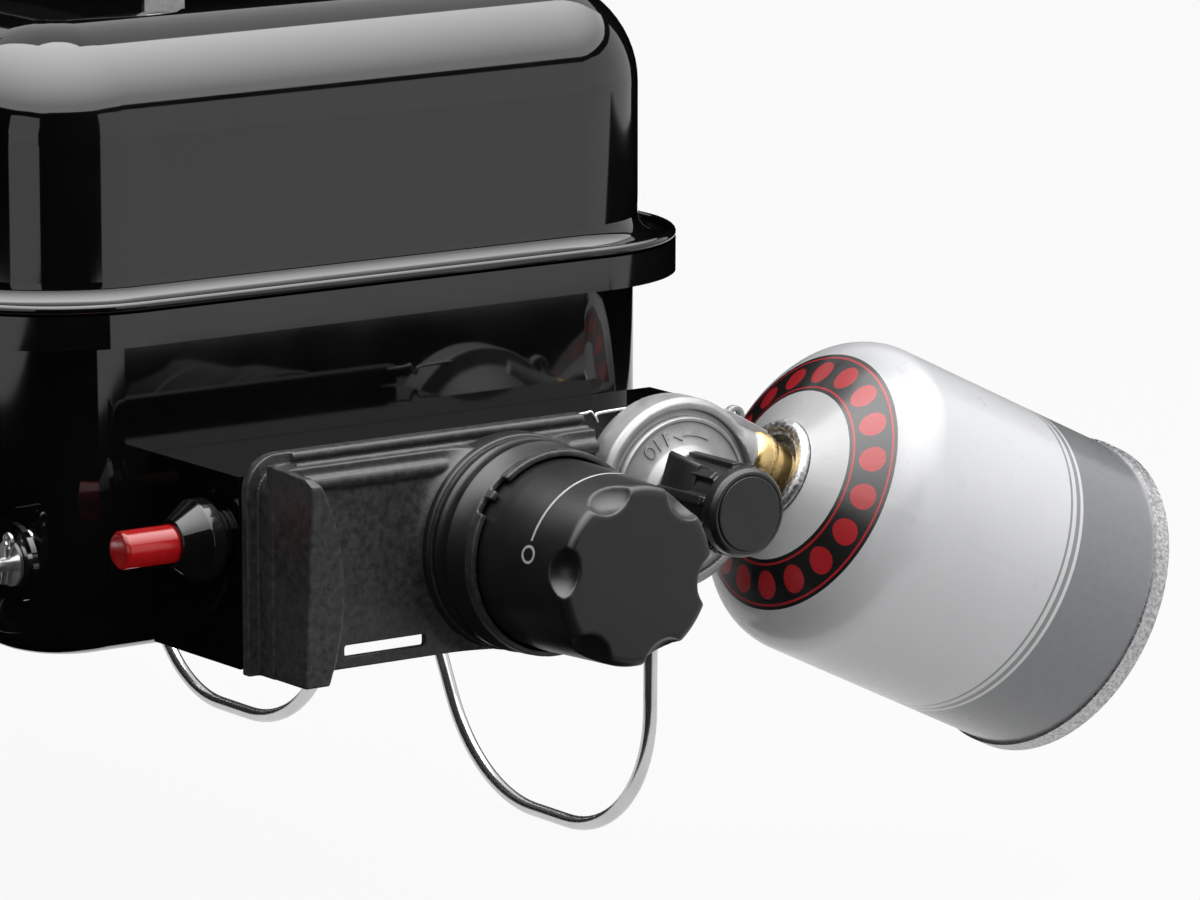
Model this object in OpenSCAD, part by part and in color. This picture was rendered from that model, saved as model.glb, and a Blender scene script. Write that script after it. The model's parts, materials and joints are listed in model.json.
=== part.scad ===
// Portable tabletop gas grill: an enamelled bowl and lift-off lid on two swinging wire legs,
// with a gas valve, igniter, regulator and screw-on gas cartridge at the right-hand end.
// Lengths are in millimetres. The sheet-metal body lies along X, the controls are at +X,
// the front is at -Y and the table is at Z = 0.

/* [Body] */
// Length of the rim
rim_length = 440; // [430:1:470]
// Depth of the rim from front to back
rim_depth = 290; // [284:1:292]
// Plan radius of the rim's corners
rim_corner = 54; // [52:1:60]
// Step from the rim's edge in to the bowl wall
bowl_inset = 14.5; // [13:0.5:16]
// Step from the rim's edge in to the lid wall
lid_inset = 13; // [12:0.5:15]
// Height of the bowl's underside above the table
bowl_clearance = 106.5; // [104:0.5:112]
// Depth of the bowl from its rim to its underside
bowl_depth = 119; // [116:1:126]
// Radius of the bend between the bowl's wall and its floor
bowl_bend = 28; // [24:1:36]
// Height of the lid above the rim
lid_height = 89; // [84:1:94]
// Radius of the bend along the lid's top edge
lid_bend = 36; // [28:1:37]
// Height of the rim's turned-down skirt
skirt_height = 11; // [9:0.5:14]
// Thickness of the enamelled sheet
sheet = 1.4; // [1.2:0.1:1.8]

/* [Handle] */
// Distance between the two handle brackets
handle_span = 174; // [150:1:180]
// Height of the grip's centre above the lid
handle_rise = 34; // [30:1:40]
// Diameter of the grip at its middle
grip_d = 25; // [20:0.5:28]

/* [Legs] */
// Diameter of the leg wire
wire_d = 5; // [4:0.25:5.5]
// Gap between the rim's side and the arms of the legs
leg_gap = 0.5; // [0.4:0.1:6]
// Distance of each pivot from the end of the rim
leg_pivot_inset = 17; // [15:1:19]
// Height of the pivots above the bowl's underside
leg_pivot_rise = 39; // [36:1:46]
// Slant of each leg's outer strand, from its pivot in to its foot
leg_slant = 39; // [33:1:50]
// Distance of each foot's inner bend from the middle of the grill
leg_inner_x = 58; // [50:1:66]

/* [Controls] */
// Sideways place of the control knob
knob_y = 14.5; // [11:0.5:16]
// Height of the control knob's axis above the bowl's underside
knob_rise = 40.5; // [39:0.5:44]
// Diameter of the control knob's skirt
knob_d = 62; // [58:1:63]
// Reach of the housing from the end of the bowl
housing_reach = 52; // [50:1:54]
// Height of the housing's lower edge above the bowl's underside
housing_rise = 7; // [5:1:9]
// Height of the control housing
housing_height = 63; // [60:1:64]
// Front edge of the control housing
housing_front_y = -81; // [-84:1:-79]
// Thickness of the bezel from its back to its panel
bezel_depth = 12; // [10:0.5:14]
// Travel of the igniter button
igniter_travel = 6; // [4:0.5:7]

/* [Gas] */
// Sideways place of the regulator
regulator_y = 84.5; // [83:0.5:87]
// Diameter of the regulator
regulator_d = 65; // [60:1:66]
// Diameter of the gas cartridge
cartridge_d = 110; // [104:1:112]
// Length of the gas cartridge from its valve cup to its base
cartridge_length = 134; // [120:1:140]
// Slope of the gas cartridge below the horizontal
cartridge_slope = 25.8; // [24:0.1:28]

/* [Hidden] */
$fn = 64;

// Clearances, each named once
lid_gap = 0.3;          // lid flange above the bowl flange
pivot_gap = 0.05;       // wire in a bracket hole, all round
stem_gap = 0.05;        // stems, buttons and screws in their bores, all round
press_gap = 0.01;       // pieces driven or screwed tight into their bores, all round
seat_gap = 0.3;         // pieces of different bodies that pass each other
cut = 10;               // how far a cut runs past a thin wall, on either side
wire_r = wire_d / 2;
small_screw = 3;        // thread diameters of the screws and bolts
screw_d = 4;
bolt_d = 5;

// Main levels and places
rim_z = bowl_clearance + bowl_depth;
lid_z = rim_z + lid_gap;
lid_top_z = lid_z + lid_height;
bowl_r = rim_corner - bowl_inset;
lid_r = rim_corner - lid_inset;
end_x = rim_length / 2 - bowl_inset;
side_y = rim_depth / 2 - bowl_inset;
knob_z = bowl_clearance + knob_rise;
housing_x = end_x + housing_reach;
housing_low_z = bowl_clearance + housing_rise;
housing_top_z = housing_low_z + housing_height;
housing_back_y = regulator_y + regulator_d / 2 + 1;
step_x = housing_x - 26;        // front of the housing's shallow part, beside the regulator
step_y = knob_y + 36.5;           // where the housing steps back
plate = 1.2;                    // thickness of the housing's sheet
bezel_x = housing_x + 0.3;
panel_x = bezel_x + bezel_depth;
collar_x = panel_x + 29;
knob_face_x = collar_x + 45;
knob_back_x = panel_x + 6;
regulator_x = panel_x + 0.2;    // front of the regulator's rim
regulator_z = knob_z + 6.5;
pivot_z = bowl_clearance + leg_pivot_rise;
leg_pivot_x = rim_length / 2 - leg_pivot_inset;
leg_outer_x = leg_pivot_x - leg_slant;
leg_arm_y = rim_depth / 2 + leg_gap + wire_r;
cup_y = regulator_y + regulator_d / 2 + 10.8;
cup_z = regulator_z + 2.4;
cartridge_x = regulator_x - 8;
base_y = cup_y + cartridge_length * cos(cartridge_slope);
grate_z = rim_z - 15;
grate_rail = 6;                 // thickness of the grate's rails, which lie on the ledges

// The grill stands with the middle of its outline over the origin
x_low = -rim_length / 2;
x_high = knob_face_x;
y_low = -leg_arm_y - wire_r;
y_high = base_y + (cartridge_d / 2 + 1) * sin(cartridge_slope);
shift = [-(x_low + x_high) / 2, -(y_low + y_high) / 2, 0];

enamel = [0.04, 0.04, 0.045];
black_plastic = [0.1, 0.1, 0.105];
steel = [0.75, 0.76, 0.78];
brass = [0.8, 0.65, 0.35];
die_cast = [0.72, 0.73, 0.74];

// A quarter of a bent sheet's section, of that outer radius, starting at that angle
module bend_section(radius, thickness, from) {
    intersection() {
        difference() {
            circle(radius);
            circle(radius - thickness);
        }
        rotate(from) square(radius + 1);
    }
}

// Carries a section, drawn outwards from the corner axis, round a rounded rectangle
module around(length, depth, corner) {
    long = length / 2 - corner;
    deep = depth / 2 - corner;
    for (turn = [0:3]) {
        place = turn % 2 == 0 ? [long, deep] : [deep, long];
        rotate([0, 0, 90 * turn]) translate([place[0], place[1], 0]) {
            rotate_extrude(angle = 90) children();
            rotate([90, 0, 0]) linear_extrude(2 * place[1]) children();
        }
    }
}

// The flat middle of a tray that around() goes round
module middle_plate(length, depth, corner, thickness) {
    translate([corner - length / 2, corner - depth / 2, 0])
        cube([length - 2 * corner, depth - 2 * corner, thickness]);
}

// A rod from one point to another
module rod(a, b, d) {
    v = b - a;
    translate(a) rotate([0, acos(v[2] / norm(v)), atan2(v[1], v[0])]) cylinder(d = d, h = norm(v));
}

// A cylinder or turned shape pointing along +X, +Y or -Y from a place
module along_x(at) {
    translate(at) rotate([0, 90, 0]) children();
}
module along_y(at) {
    translate(at) rotate([-90, 0, 0]) children();
}
module along_front(at) {
    translate(at) rotate([90, 0, 0]) children();
}

// Wire bending: straight stretches between the bends, and each bend an arc of a true torus.
// A bend is a hair thicker than the stretches, which run a little way into it.
bend_swell = 0.02;
bend_overlap = 0.2;
function unit(v) = v / norm(v);
function turn_of(p, i) = acos(unit(p[i] - p[i - 1]) * unit(p[i + 1] - p[i]));
function set_back(p, r, i) = i == 0 || i == len(p) - 1 ? 0 : r[i] * tan(turn_of(p, i) / 2);

module wire_bend(p, r, i, d) {
    u = unit(p[i] - p[i - 1]);
    v = unit(p[i + 1] - p[i]);
    inward = unit(v - (u * v) * u);
    axis = cross(-inward, u);
    c = p[i] - u * set_back(p, r, i) + inward * r[i];
    multmatrix([
        [-inward[0], u[0], axis[0], c[0]],
        [-inward[1], u[1], axis[1], c[1]],
        [-inward[2], u[2], axis[2], c[2]],
        [0, 0, 0, 1]
    ]) rotate_extrude(angle = turn_of(p, i)) translate([r[i], 0]) circle(d = d + bend_swell);
}

module bent_wire(p, r, d) {
    for (i = [0:len(p) - 2]) {
        u = unit(p[i + 1] - p[i]);
        from = max(set_back(p, r, i) - bend_overlap, 0);
        to = max(set_back(p, r, i + 1) - bend_overlap, 0);
        rod(p[i] + u * from, p[i + 1] - u * to, d);
    }
    for (i = [1:len(p) - 2]) wire_bend(p, r, i, d);
}

// Bowl
module bowl_section() {
    square([bowl_r - bowl_bend, sheet]);
    translate([bowl_r - bowl_bend, bowl_bend]) bend_section(bowl_bend, sheet, -90);
    translate([bowl_r - sheet, bowl_bend]) square([sheet, bowl_depth - bowl_bend]);
    translate([bowl_r - sheet, bowl_depth - sheet]) square([bowl_inset + sheet, sheet]);
    translate([rim_corner - sheet, bowl_depth - skirt_height]) square([sheet, skirt_height]);
}

// Ledges for the grate: width, reach and thickness, and their distance from the bowl's end
ledge = [28, 14, 2];
ledge_x = end_x - 82;
ledge_z = grate_z - grate_rail / 2 - ledge[2];

// A round hole in the bowl's right-hand end
module end_hole(y, z, d) {
    along_x([end_x - cut, y, z]) cylinder(d = d, h = 2 * cut);
}

module bowl() {
    color(enamel) difference() {
        union() {
            translate([0, 0, bowl_clearance]) {
                around(rim_length - 2 * bowl_inset, rim_depth - 2 * bowl_inset, bowl_r) bowl_section();
                middle_plate(rim_length - 2 * bowl_inset, rim_depth - 2 * bowl_inset, bowl_r, sheet);
            }
            for (x = [-1, 1] * ledge_x, m = [0, 1])
                mirror([0, m, 0]) translate([x - ledge[0] / 2, sheet / 2 - side_y, ledge_z]) cube(ledge);
        }
        end_hole(knob_y, knob_z, burner_d + 1);
        end_hole(electrode_y, electrode_z, electrode_d + 0.4);
        for (y = housing_screw_y) end_hole(y, housing_screw_z, screw_d + 4 * stem_gap);
        for (y = burner_screw_y)
            translate([burner_screw_x, y, bowl_clearance - cut])
                cylinder(d = screw_d + 2 * stem_gap, h = 2 * cut);
    }
}

// Leg brackets: flat tabs that stand past the bowl's round corners
bracket_t = 2;
bracket_r = 13;
bracket_foot = bowl_r + 40;     // from the bowl's end to the inner end of the tab
module leg_bracket() {
    difference() {
        union() {
            along_y([leg_pivot_x, 0, pivot_z]) cylinder(r = bracket_r, h = bracket_t);
            translate([end_x - bracket_foot, 0, pivot_z - bracket_r])
                cube([leg_pivot_x - end_x + bracket_foot, bracket_t, 2 * bracket_r]);
        }
        along_y([leg_pivot_x, -cut, pivot_z]) cylinder(d = wire_d + 2 * pivot_gap, h = 2 * cut);
    }
}

module leg_brackets() {
    color(enamel) for (mx = [0, 1], my = [0, 1])
        mirror([mx, 0, 0]) mirror([0, my, 0]) translate([0, side_y, 0]) leg_bracket();
}

// Lid
flare = 7;
lip = 1.7;
module lid_section() {
    square_low = sheet + flare;
    translate([rim_corner - lip, lip]) circle(lip);
    translate([lid_r + flare, 0]) square([lid_inset - flare - lip, sheet]);
    translate([lid_r + flare, sheet + flare]) bend_section(flare + sheet, sheet, 180);
    translate([lid_r - sheet, square_low]) square([sheet, lid_height - lid_bend - square_low]);
    translate([lid_r - lid_bend, lid_height - lid_bend]) bend_section(lid_bend, sheet, 0);
    translate([0, lid_height - sheet]) square([lid_r - lid_bend, sheet]);
}

module lid_shell() {
    length = rim_length - 2 * lid_inset;
    depth = rim_depth - 2 * lid_inset;
    color(enamel) difference() {
        translate([0, 0, lid_z]) {
            around(length, depth, lid_r) lid_section();
            translate([0, 0, lid_height - sheet]) middle_plate(length, depth, lid_r, sheet);
        }
        for (x = [-1, 1] * handle_bolt_x)
            translate([x, 0, lid_top_z - cut]) cylinder(d = bolt_d + 2 * stem_gap, h = 2 * cut);
    }
}

// Handle on the lid
strap_w = 16;
strap_t = 2;
handle_x = handle_span / 2;
strap_foot = 28;                // length of each strap's foot on the lid
handle_bolt_x = handle_x - 16;
bolt_reach = 12;
grip_z = lid_top_z + handle_rise;

module handle_grip() {
    reach = handle_x - strap_t;
    steps = 16;
    thinning = 3;
    barrel = [for (i = [0:steps]) [grip_d / 2 - thinning * pow(2 * i / steps - 1, 2), 2 * reach * i / steps]];
    color(black_plastic) difference() {
        along_x([-reach, 0, grip_z]) rotate_extrude() polygon(concat([[0, 0]], barrel, [[0, 2 * reach]]));
        for (s = [-1, 1]) along_x([s * reach - bolt_reach, 0, grip_z]) cylinder(d = bolt_d, h = 2 * bolt_reach);
    }
}

module handle_bracket() {
    top = grip_z + strap_w / 2 - lid_top_z;
    difference() {
        union() {
            translate([handle_x - strap_foot, -strap_w / 2, lid_top_z]) cube([strap_foot, strap_w, strap_t]);
            translate([handle_x - strap_t, -strap_w / 2, lid_top_z])
                cube([strap_t, strap_w, top - strap_w / 2]);
            along_x([handle_x - strap_t, 0, grip_z]) cylinder(d = strap_w, h = strap_t);
        }
        translate([handle_bolt_x, 0, lid_top_z - cut]) cylinder(d = bolt_d + 2 * stem_gap, h = 2 * cut);
        along_x([handle_x - cut, 0, grip_z]) cylinder(d = bolt_d + 2 * stem_gap, h = 2 * cut);
    }
}

module handle_brackets() {
    color(steel) for (m = [0, 1]) mirror([m, 0, 0]) handle_bracket();
}

// A round-headed screw along +Z: its head stands on Z = 0 and its shank goes below
module screw(d, length, head_d, head_h) {
    translate([0, 0, -length]) cylinder(d = d, h = length + 0.01);
    intersection() {
        cylinder(d = head_d, h = head_h);
        translate([0, 0, head_h - head_d * 0.62]) sphere(r = head_d * 0.62);
    }
}

nut_h = 4;
module handle_bolts() {
    color(steel) for (m = [0, 1]) mirror([m, 0, 0]) {
        translate([handle_bolt_x, 0, lid_top_z + strap_t]) screw(bolt_d, bolt_reach, 2 * bolt_d, 3);
        translate([handle_bolt_x, 0, lid_top_z - sheet - nut_h]) cylinder(d = 9, h = nut_h, $fn = 6);
        along_x([handle_x, 0, grip_z]) screw(bolt_d, bolt_reach, 9, 2.5);
    }
}

// Cooking grate: round bars on two rails and a rim
grate_bar = 5;
grate_bars = 23;
grate_end = 28;                 // from the bowl's end to the ends of the rails
rail_margin = 14;               // from the bowl's side to the outer rails
bar_margin = 4;                 // from the ends of the rails to the outer bars
module cooking_grate() {
    rail_y = side_y - rail_margin;
    reach = end_x - grate_end;
    color(enamel) {
        for (i = [0:grate_bars - 1]) {
            x = (2 * i / (grate_bars - 1) - 1) * (reach - bar_margin);
            rod([x, -rail_y, grate_z], [x, rail_y, grate_z], grate_bar);
        }
        for (y = [-rail_y, 0, rail_y]) rod([-reach, y, grate_z], [reach, y, grate_z], grate_rail);
    }
}

// Burner: a straight tube with ports, its mouth outside the bowl at the valve
burner_d = 22;
burner_wall = 1.2;
burner_far_x = 55 - end_x;      // closed far end of the tube
port_d = 2.4;
port_step = 20;
port_lean = 60;                 // ports point this far from upright, to both sides
module burner_tube() {
    mouth_x = end_x + 3;
    inner_d = burner_d - 2 * burner_wall;
    color(steel) difference() {
        along_x([burner_far_x, knob_y, knob_z]) cylinder(d = burner_d, h = mouth_x - burner_far_x);
        along_x([burner_far_x + 2, knob_y, knob_z]) cylinder(d = inner_d, h = mouth_x - burner_far_x);
        for (x = [burner_far_x + port_step:port_step:mouth_x - 3 * port_step], lean = [-1, 1] * port_lean)
            translate([x, knob_y, knob_z]) rotate([lean, 0, 0]) cylinder(d = port_d, h = burner_d);
    }
}

bracket_x = burner_far_x + 10;
burner_bracket_t = 2;
burner_bracket_w = 32;
burner_bracket_foot = 22;
burner_screw_x = bracket_x + 12;
burner_screw_y = [knob_y - 9, knob_y + 9];
floor_z = bowl_clearance + sheet;
module burner_bracket() {
    back_x = bracket_x - burner_bracket_t / 2;
    side = knob_y - burner_bracket_w / 2;
    color(steel) difference() {
        union() {
            translate([back_x, side, floor_z]) cube([burner_bracket_t, burner_bracket_w, knob_z - floor_z]);
            along_x([back_x, knob_y, knob_z]) cylinder(d = burner_bracket_w, h = burner_bracket_t);
            translate([back_x, side, floor_z]) cube([burner_bracket_foot, burner_bracket_w, burner_bracket_t]);
        }
        along_x([bracket_x - cut, knob_y, knob_z]) cylinder(d = burner_d + 2 * stem_gap, h = 2 * cut);
        for (y = burner_screw_y)
            translate([burner_screw_x, y, floor_z - 1]) cylinder(d = screw_d + 2 * stem_gap, h = cut);
    }
}

module burner_bracket_screws() {
    color(steel) for (y = burner_screw_y)
        translate([burner_screw_x, y, floor_z + burner_bracket_t])
            screw(screw_d, burner_bracket_t + sheet - 0.2, 7, 2);
}

// Heat shield: a folded roof over the burner on four legs
shield_rise = 30;               // ridge above the burner's axis
shield_eave = 34;               // half width of the roof
shield_drop = 15;               // fall of the roof from its ridge to its eaves
shield_t = 1.6;
shield_half = end_x - 75;
shield_foot = [12, 2];          // width and thickness of each foot
module heat_shield() {
    ridge = knob_z + shield_rise;
    eave = ridge - shield_drop;
    color(enamel) {
        along_x([-shield_half, knob_y, 0]) linear_extrude(2 * shield_half) polygon([
            [-ridge, 0], [-eave, shield_eave], [shield_t - eave, shield_eave],
            [shield_t - ridge, 0], [shield_t - eave, -shield_eave], [-eave, -shield_eave]
        ]);
        for (x = [-shield_half, shield_half - shield_foot[0]], s = [-1, 1])
            translate([x, knob_y + s * (shield_eave - 1) - 1, floor_z])
                cube([shield_foot[0], shield_foot[1], eave - floor_z]);
    }
}

// Control housing: folded black sheet at the end of the bowl
housing_screw_y = [housing_front_y + 21, housing_back_y - 26];
housing_screw_z = housing_top_z - 8;
housing_back_x = end_x + 0.2;
front_low = housing_low_z + 18; // lower edge of the plate behind the bezel
step_low = housing_low_z + 14;  // lower edge of the plates beside the regulator
mount_flange = 16;              // height of the flange against the bowl
back_corner = 16;               // the sloping corner at the back of the housing's top
valve_neck_d = 16;
valve_screw_y = [knob_y - 18, knob_y + 18];
regulator_screw_y = [regulator_y - 9, regulator_y + 9];
regulator_screw_z = regulator_z + 9;
module housing_top() {
    polygon([
        [housing_back_x, housing_front_y], [housing_x, housing_front_y], [housing_x, step_y], [step_x, step_y],
        [step_x, housing_back_y - back_corner], [step_x - back_corner / 2, housing_back_y],
        [housing_back_x, housing_back_y]
    ]);
}

// An upright plate from one corner to another
module upright(from, to) {
    translate(from) cube(to - from);
}

module control_housing() {
    low = housing_low_z;
    top = housing_top_z;
    front = housing_front_y;
    inner_x = step_x - plate;
    inner_y = step_y - plate;
    color(enamel) difference() {
        union() {
            translate([0, 0, top - plate]) linear_extrude(plate) housing_top();
            upright([housing_back_x, front, low], [housing_x, front + plate, top]);
            upright([housing_x - plate, front, front_low], [housing_x, step_y, top]);
            upright([inner_x, inner_y, step_low], [housing_x, step_y, top]);
            upright([inner_x, inner_y, step_low], [step_x, housing_back_y - back_corner, top]);
            upright([housing_back_x, front, top - mount_flange], [housing_back_x + plate, housing_back_y, top]);
        }
        along_x([housing_x - cut, knob_y, knob_z]) cylinder(d = valve_neck_d + 0.4, h = 2 * cut);
        for (y = valve_screw_y)
            along_x([housing_x - cut, y, knob_z]) cylinder(d = screw_d + 2 * stem_gap, h = 2 * cut);
        along_y([valve_pipe_x, step_y - cut, knob_z]) cylinder(d = pipe_d + 1.4, h = 2 * cut);
        along_x([step_x - cut, regulator_y, regulator_z]) cylinder(d = 10, h = 2 * cut);
        for (y = regulator_screw_y)
            along_x([step_x - cut, y, regulator_screw_z]) cylinder(d = small_screw + 0.6, h = 2 * cut);
        along_y([igniter_x, front - cut, igniter_z]) cylinder(d = igniter_d + 2 * stem_gap, h = 2 * cut);
        for (y = housing_screw_y)
            along_x([end_x - cut, y, housing_screw_z]) cylinder(d = screw_d + 4 * stem_gap, h = 2 * cut);
        for (p = bezel_screw_places)
            along_x([housing_x - cut, p[0], p[1]]) cylinder(d = small_screw + 2 * stem_gap, h = 2 * cut);
    }
}

module housing_screws() {
    color(steel) for (y = housing_screw_y)
        along_x([housing_back_x + plate, y, housing_screw_z]) screw(screw_d, 6, 2 * screw_d, 2.2);
}

// Bezel: a moulded tray with a stepped flange, a pillar, three ridges, a slot and a collar
bezel_low = housing_low_z - 1.8;
bezel_high = bezel_low + 71.8;
bezel_front_y = housing_front_y + 0.5;
bezel_back_y = knob_y + 35.5;
bezel_wall = 2.5;
bezel_step = 4;                 // the panel stands in from the flange by this much
bezel_screw_z = bezel_high - 16;
bezel_screw_places = [[bezel_front_y + 18.5, bezel_screw_z], [knob_y - 48, bezel_screw_z]];
collar_gap = 0.8;               // knob in the collar, all round
collar_d = knob_d + 5.6;        // outside of the collar at its front edge
collar_base_d = collar_d + 2.8;
collar_flare = 6;               // radius of the hollow bend from the panel into the collar
collar_notches = [131, 146, 311, 326];
notch = [5.5, 3];               // width and depth of each notch in the collar's edge
slot_from_y = bezel_front_y + 31.8;
slot_length = 31;
slot_height = 3.6;
slot_rise = 4;                  // lower edge of the slot above the bezel's lower edge
pillar_y = bezel_front_y + 4.5;
pillar_w = 14;
pillar_arc = 82;                // radius of the pillar's inner edge
pillar_swell = 27;              // height of the pillar's widest place
pillar_reach = [18.1, 22.9];    // of the pillar's foot and top in front of the panel
pillar_top = [66.3, 69.5];      // height of the pillar at its front and back

// A slab across the end, from one X to another, with its front upper corner rounded
module bezel_slab(from_x, to_x, inset, corner) {
    y0 = bezel_front_y + inset;
    y1 = bezel_back_y;
    z0 = bezel_low;
    z1 = bezel_high - inset;
    translate([from_x, y0, z0]) cube([to_x - from_x, y1 - y0, z1 - z0 - corner]);
    translate([from_x, y0 + corner, z0]) cube([to_x - from_x, y1 - y0 - corner, z1 - z0]);
    along_x([from_x, y0 + corner, z1 - corner]) cylinder(r = corner, h = to_x - from_x);
}

module bezel_ridges() {
    for (ridge = [[0.35, 1.4, 1.6], [0.62, 4.6, 1.6], [0.98, 9.4, 2.6]])
        rod([bezel_x + bezel_depth * ridge[0], bezel_front_y + 16.5, bezel_high - ridge[1] - 0.2],
            [bezel_x + bezel_depth * ridge[0], bezel_back_y, bezel_high - ridge[1] - 0.2], 2 * ridge[2]);
}

// The pillar leans outwards, and a large cylinder rounds its inner edge to a long arc
module bezel_pillar() {
    foot_x = panel_x - bezel_step;
    intersection() {
        translate([0, pillar_y + pillar_w, bezel_low]) rotate([90, 0, 0]) linear_extrude(pillar_w) polygon([
            [foot_x, 0], [panel_x + pillar_reach[0], 0], [panel_x + pillar_reach[1], pillar_top[0]],
            [panel_x + pillar_reach[1] - 4, pillar_top[0] + 2], [foot_x, pillar_top[1]]
        ]);
        along_x([foot_x - 1, pillar_y + pillar_w - pillar_arc, bezel_low + pillar_swell])
            cylinder(r = pillar_arc, h = 4 * cut, $fn = 200);
    }
}

// The collar round the knob's skirt: a cone with a hollow bend at its foot, kept on the panel
module bezel_collar() {
    along_x([panel_x - bezel_wall, knob_y, knob_z])
        cylinder(d1 = collar_base_d, d2 = collar_d, h = collar_x - panel_x + bezel_wall);
    intersection() {
        along_x([panel_x - 1, knob_y, knob_z]) rotate_extrude() difference() {
            translate([knob_d / 2, 0]) square([collar_base_d / 2 + collar_flare - knob_d / 2, collar_flare + 1]);
            translate([collar_base_d / 2 + collar_flare, collar_flare + 1]) circle(collar_flare);
        }
        bezel_slab(panel_x - cut, panel_x + cut, bezel_step, 9);
    }
}

module control_bezel() {
    color(black_plastic) difference() {
        union() {
            difference() {
                union() {
                    bezel_slab(bezel_x, bezel_x + 4, 0, 12);
                    bezel_slab(bezel_x + 3, panel_x, bezel_step, 9);
                }
                bezel_slab(bezel_x - 1, panel_x - bezel_wall, bezel_step + bezel_wall, 7);
                translate([bezel_x - 1, bezel_front_y + 12, bezel_low + bezel_wall])
                    cube([bezel_depth - bezel_wall + 1, bezel_back_y - bezel_front_y - 12 - bezel_wall, 40]);
            }
            bezel_pillar();
            bezel_ridges();
            bezel_collar();
            for (p = bezel_screw_places) along_x([bezel_x, p[0], p[1]]) cylinder(d = 8, h = bezel_depth - 1);
        }
        along_x([panel_x, knob_y, knob_z]) cylinder(d = knob_d + 2 * collar_gap, h = 4 * cut);
        along_x([bezel_x - 1, knob_y, knob_z]) cylinder(d = 50, h = 4 * cut);
        translate([bezel_x - 1, slot_from_y, bezel_low + slot_rise]) cube([4 * cut, slot_length, slot_height]);
        for (p = bezel_screw_places) along_x([bezel_x - 1, p[0], p[1]]) cylinder(d = small_screw, h = 9);
        for (a = collar_notches)
            along_x([collar_x - notch[1], knob_y, knob_z]) rotate([0, 0, a])
                translate([-notch[0] / 2, 0, 0]) cube([notch[0], collar_d, cut]);
    }
}

module bezel_screws() {
    color(steel) for (p = bezel_screw_places)
        along_x([housing_x - plate, p[0], p[1]]) mirror([0, 0, 1]) screw(small_screw, 7, 2 * small_screw, 2);
}

// Gas valve behind the bezel, its jet in the burner's mouth and its stem in the knob
valve_pipe_x = housing_x - 16;
valve_x = housing_x - 34;
valve_d_barrel = 24;
valve_flange_d = 46;
jet_d = 5;
pipe_d = 8;
pipe_bore = 5;
pipe_start_y = knob_y + 14;     // where the gas line enters the valve's side branch
stem_d = 8;
module gas_valve() {
    back = housing_x - plate;
    color(brass) difference() {
        union() {
            along_x([valve_x, knob_y, knob_z]) cylinder(d = valve_d_barrel, h = back - valve_x);
            along_x([end_x + 5, knob_y, knob_z]) cylinder(d = jet_d + 6, h = valve_x - end_x - 4);
            along_x([back - 3, knob_y, knob_z]) cylinder(d = valve_flange_d, h = 3);
            along_x([back - 1, knob_y, knob_z]) cylinder(d = valve_neck_d, h = 9);
            along_y([valve_pipe_x, knob_y, knob_z]) cylinder(d = pipe_d + 7, h = pipe_start_y - knob_y + 6);
        }
        along_x([valve_x + 6, knob_y, knob_z]) cylinder(d = stem_d + 2 * stem_gap, h = housing_reach);
        along_x([end_x, knob_y, knob_z]) cylinder(d = jet_d, h = valve_x + 12 - end_x);
        along_y([valve_pipe_x, pipe_start_y - 2, knob_z]) cylinder(d = pipe_d + 2 * press_gap, h = 2 * cut);
        for (y = valve_screw_y)
            along_x([housing_x - cut, y, knob_z]) cylinder(d = screw_d + 2 * press_gap, h = 2 * cut);
    }
}

module valve_screws() {
    color(steel) for (y = valve_screw_y) along_x([housing_x, y, knob_z]) screw(screw_d, 8, 7, 1.8);
}

module gas_jet() {
    color(brass) difference() {
        union() {
            along_x([end_x - 6, knob_y, knob_z]) cylinder(d1 = 4, d2 = 8, h = 6);
            along_x([end_x, knob_y, knob_z]) cylinder(d = jet_d + 6, h = 5, $fn = 6);
            along_x([end_x + 4, knob_y, knob_z]) cylinder(d = jet_d - 2 * press_gap, h = 8);
        }
        along_x([end_x - cut, knob_y, knob_z]) cylinder(d = 1, h = 4 * cut);
    }
}

knob_socket = 15;               // from the knob's face to the bottom of its socket
module valve_stem() {
    stem_x = valve_x + 8;
    color(steel) along_x([stem_x, knob_y, knob_z])
        cylinder(d = stem_d, h = knob_face_x - knob_socket - 1 - stem_x);
}

// Control knob: a hollow turned skirt with thumb hollows round its face
knob_hollows = 6;
hollow_r = 10;
hollow_out = 2.5;               // middle of a hollow outside the skirt
knob_edge = 3;                  // radius of the edge round the face
knob_taper = 1.5;                // the face is this much smaller in radius than the skirt
knob_wall = 4;
knob_hub_r = 9;
module control_knob() {
    long = knob_face_x - knob_back_x;
    r = knob_d / 2;
    edge = knob_edge;
    color(black_plastic) difference() {
        along_x([knob_back_x, knob_y, knob_z]) rotate_extrude() difference() {
            union() {
                polygon([[0, 0], [r, 0], [r, long * 0.45], [r - knob_taper, long - edge], [0, long - edge]]);
                square([r - knob_taper - edge, long]);
                translate([r - knob_taper - edge, long - edge]) circle(edge);
            }
            translate([knob_hub_r, -1]) square([r - knob_hub_r - knob_wall, long - 7]);
        }
        for (i = [0:knob_hollows - 1])
            along_x([knob_face_x + 1, knob_y, knob_z]) rotate([0, 0, 360 * (i + 0.35) / knob_hollows])
                translate([r + hollow_out, 0, 0]) sphere(r = hollow_r);
        along_x([knob_back_x - 1, knob_y, knob_z])
            cylinder(d = stem_d + 2 * press_gap, h = long - knob_socket + 1);
    }
}

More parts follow.
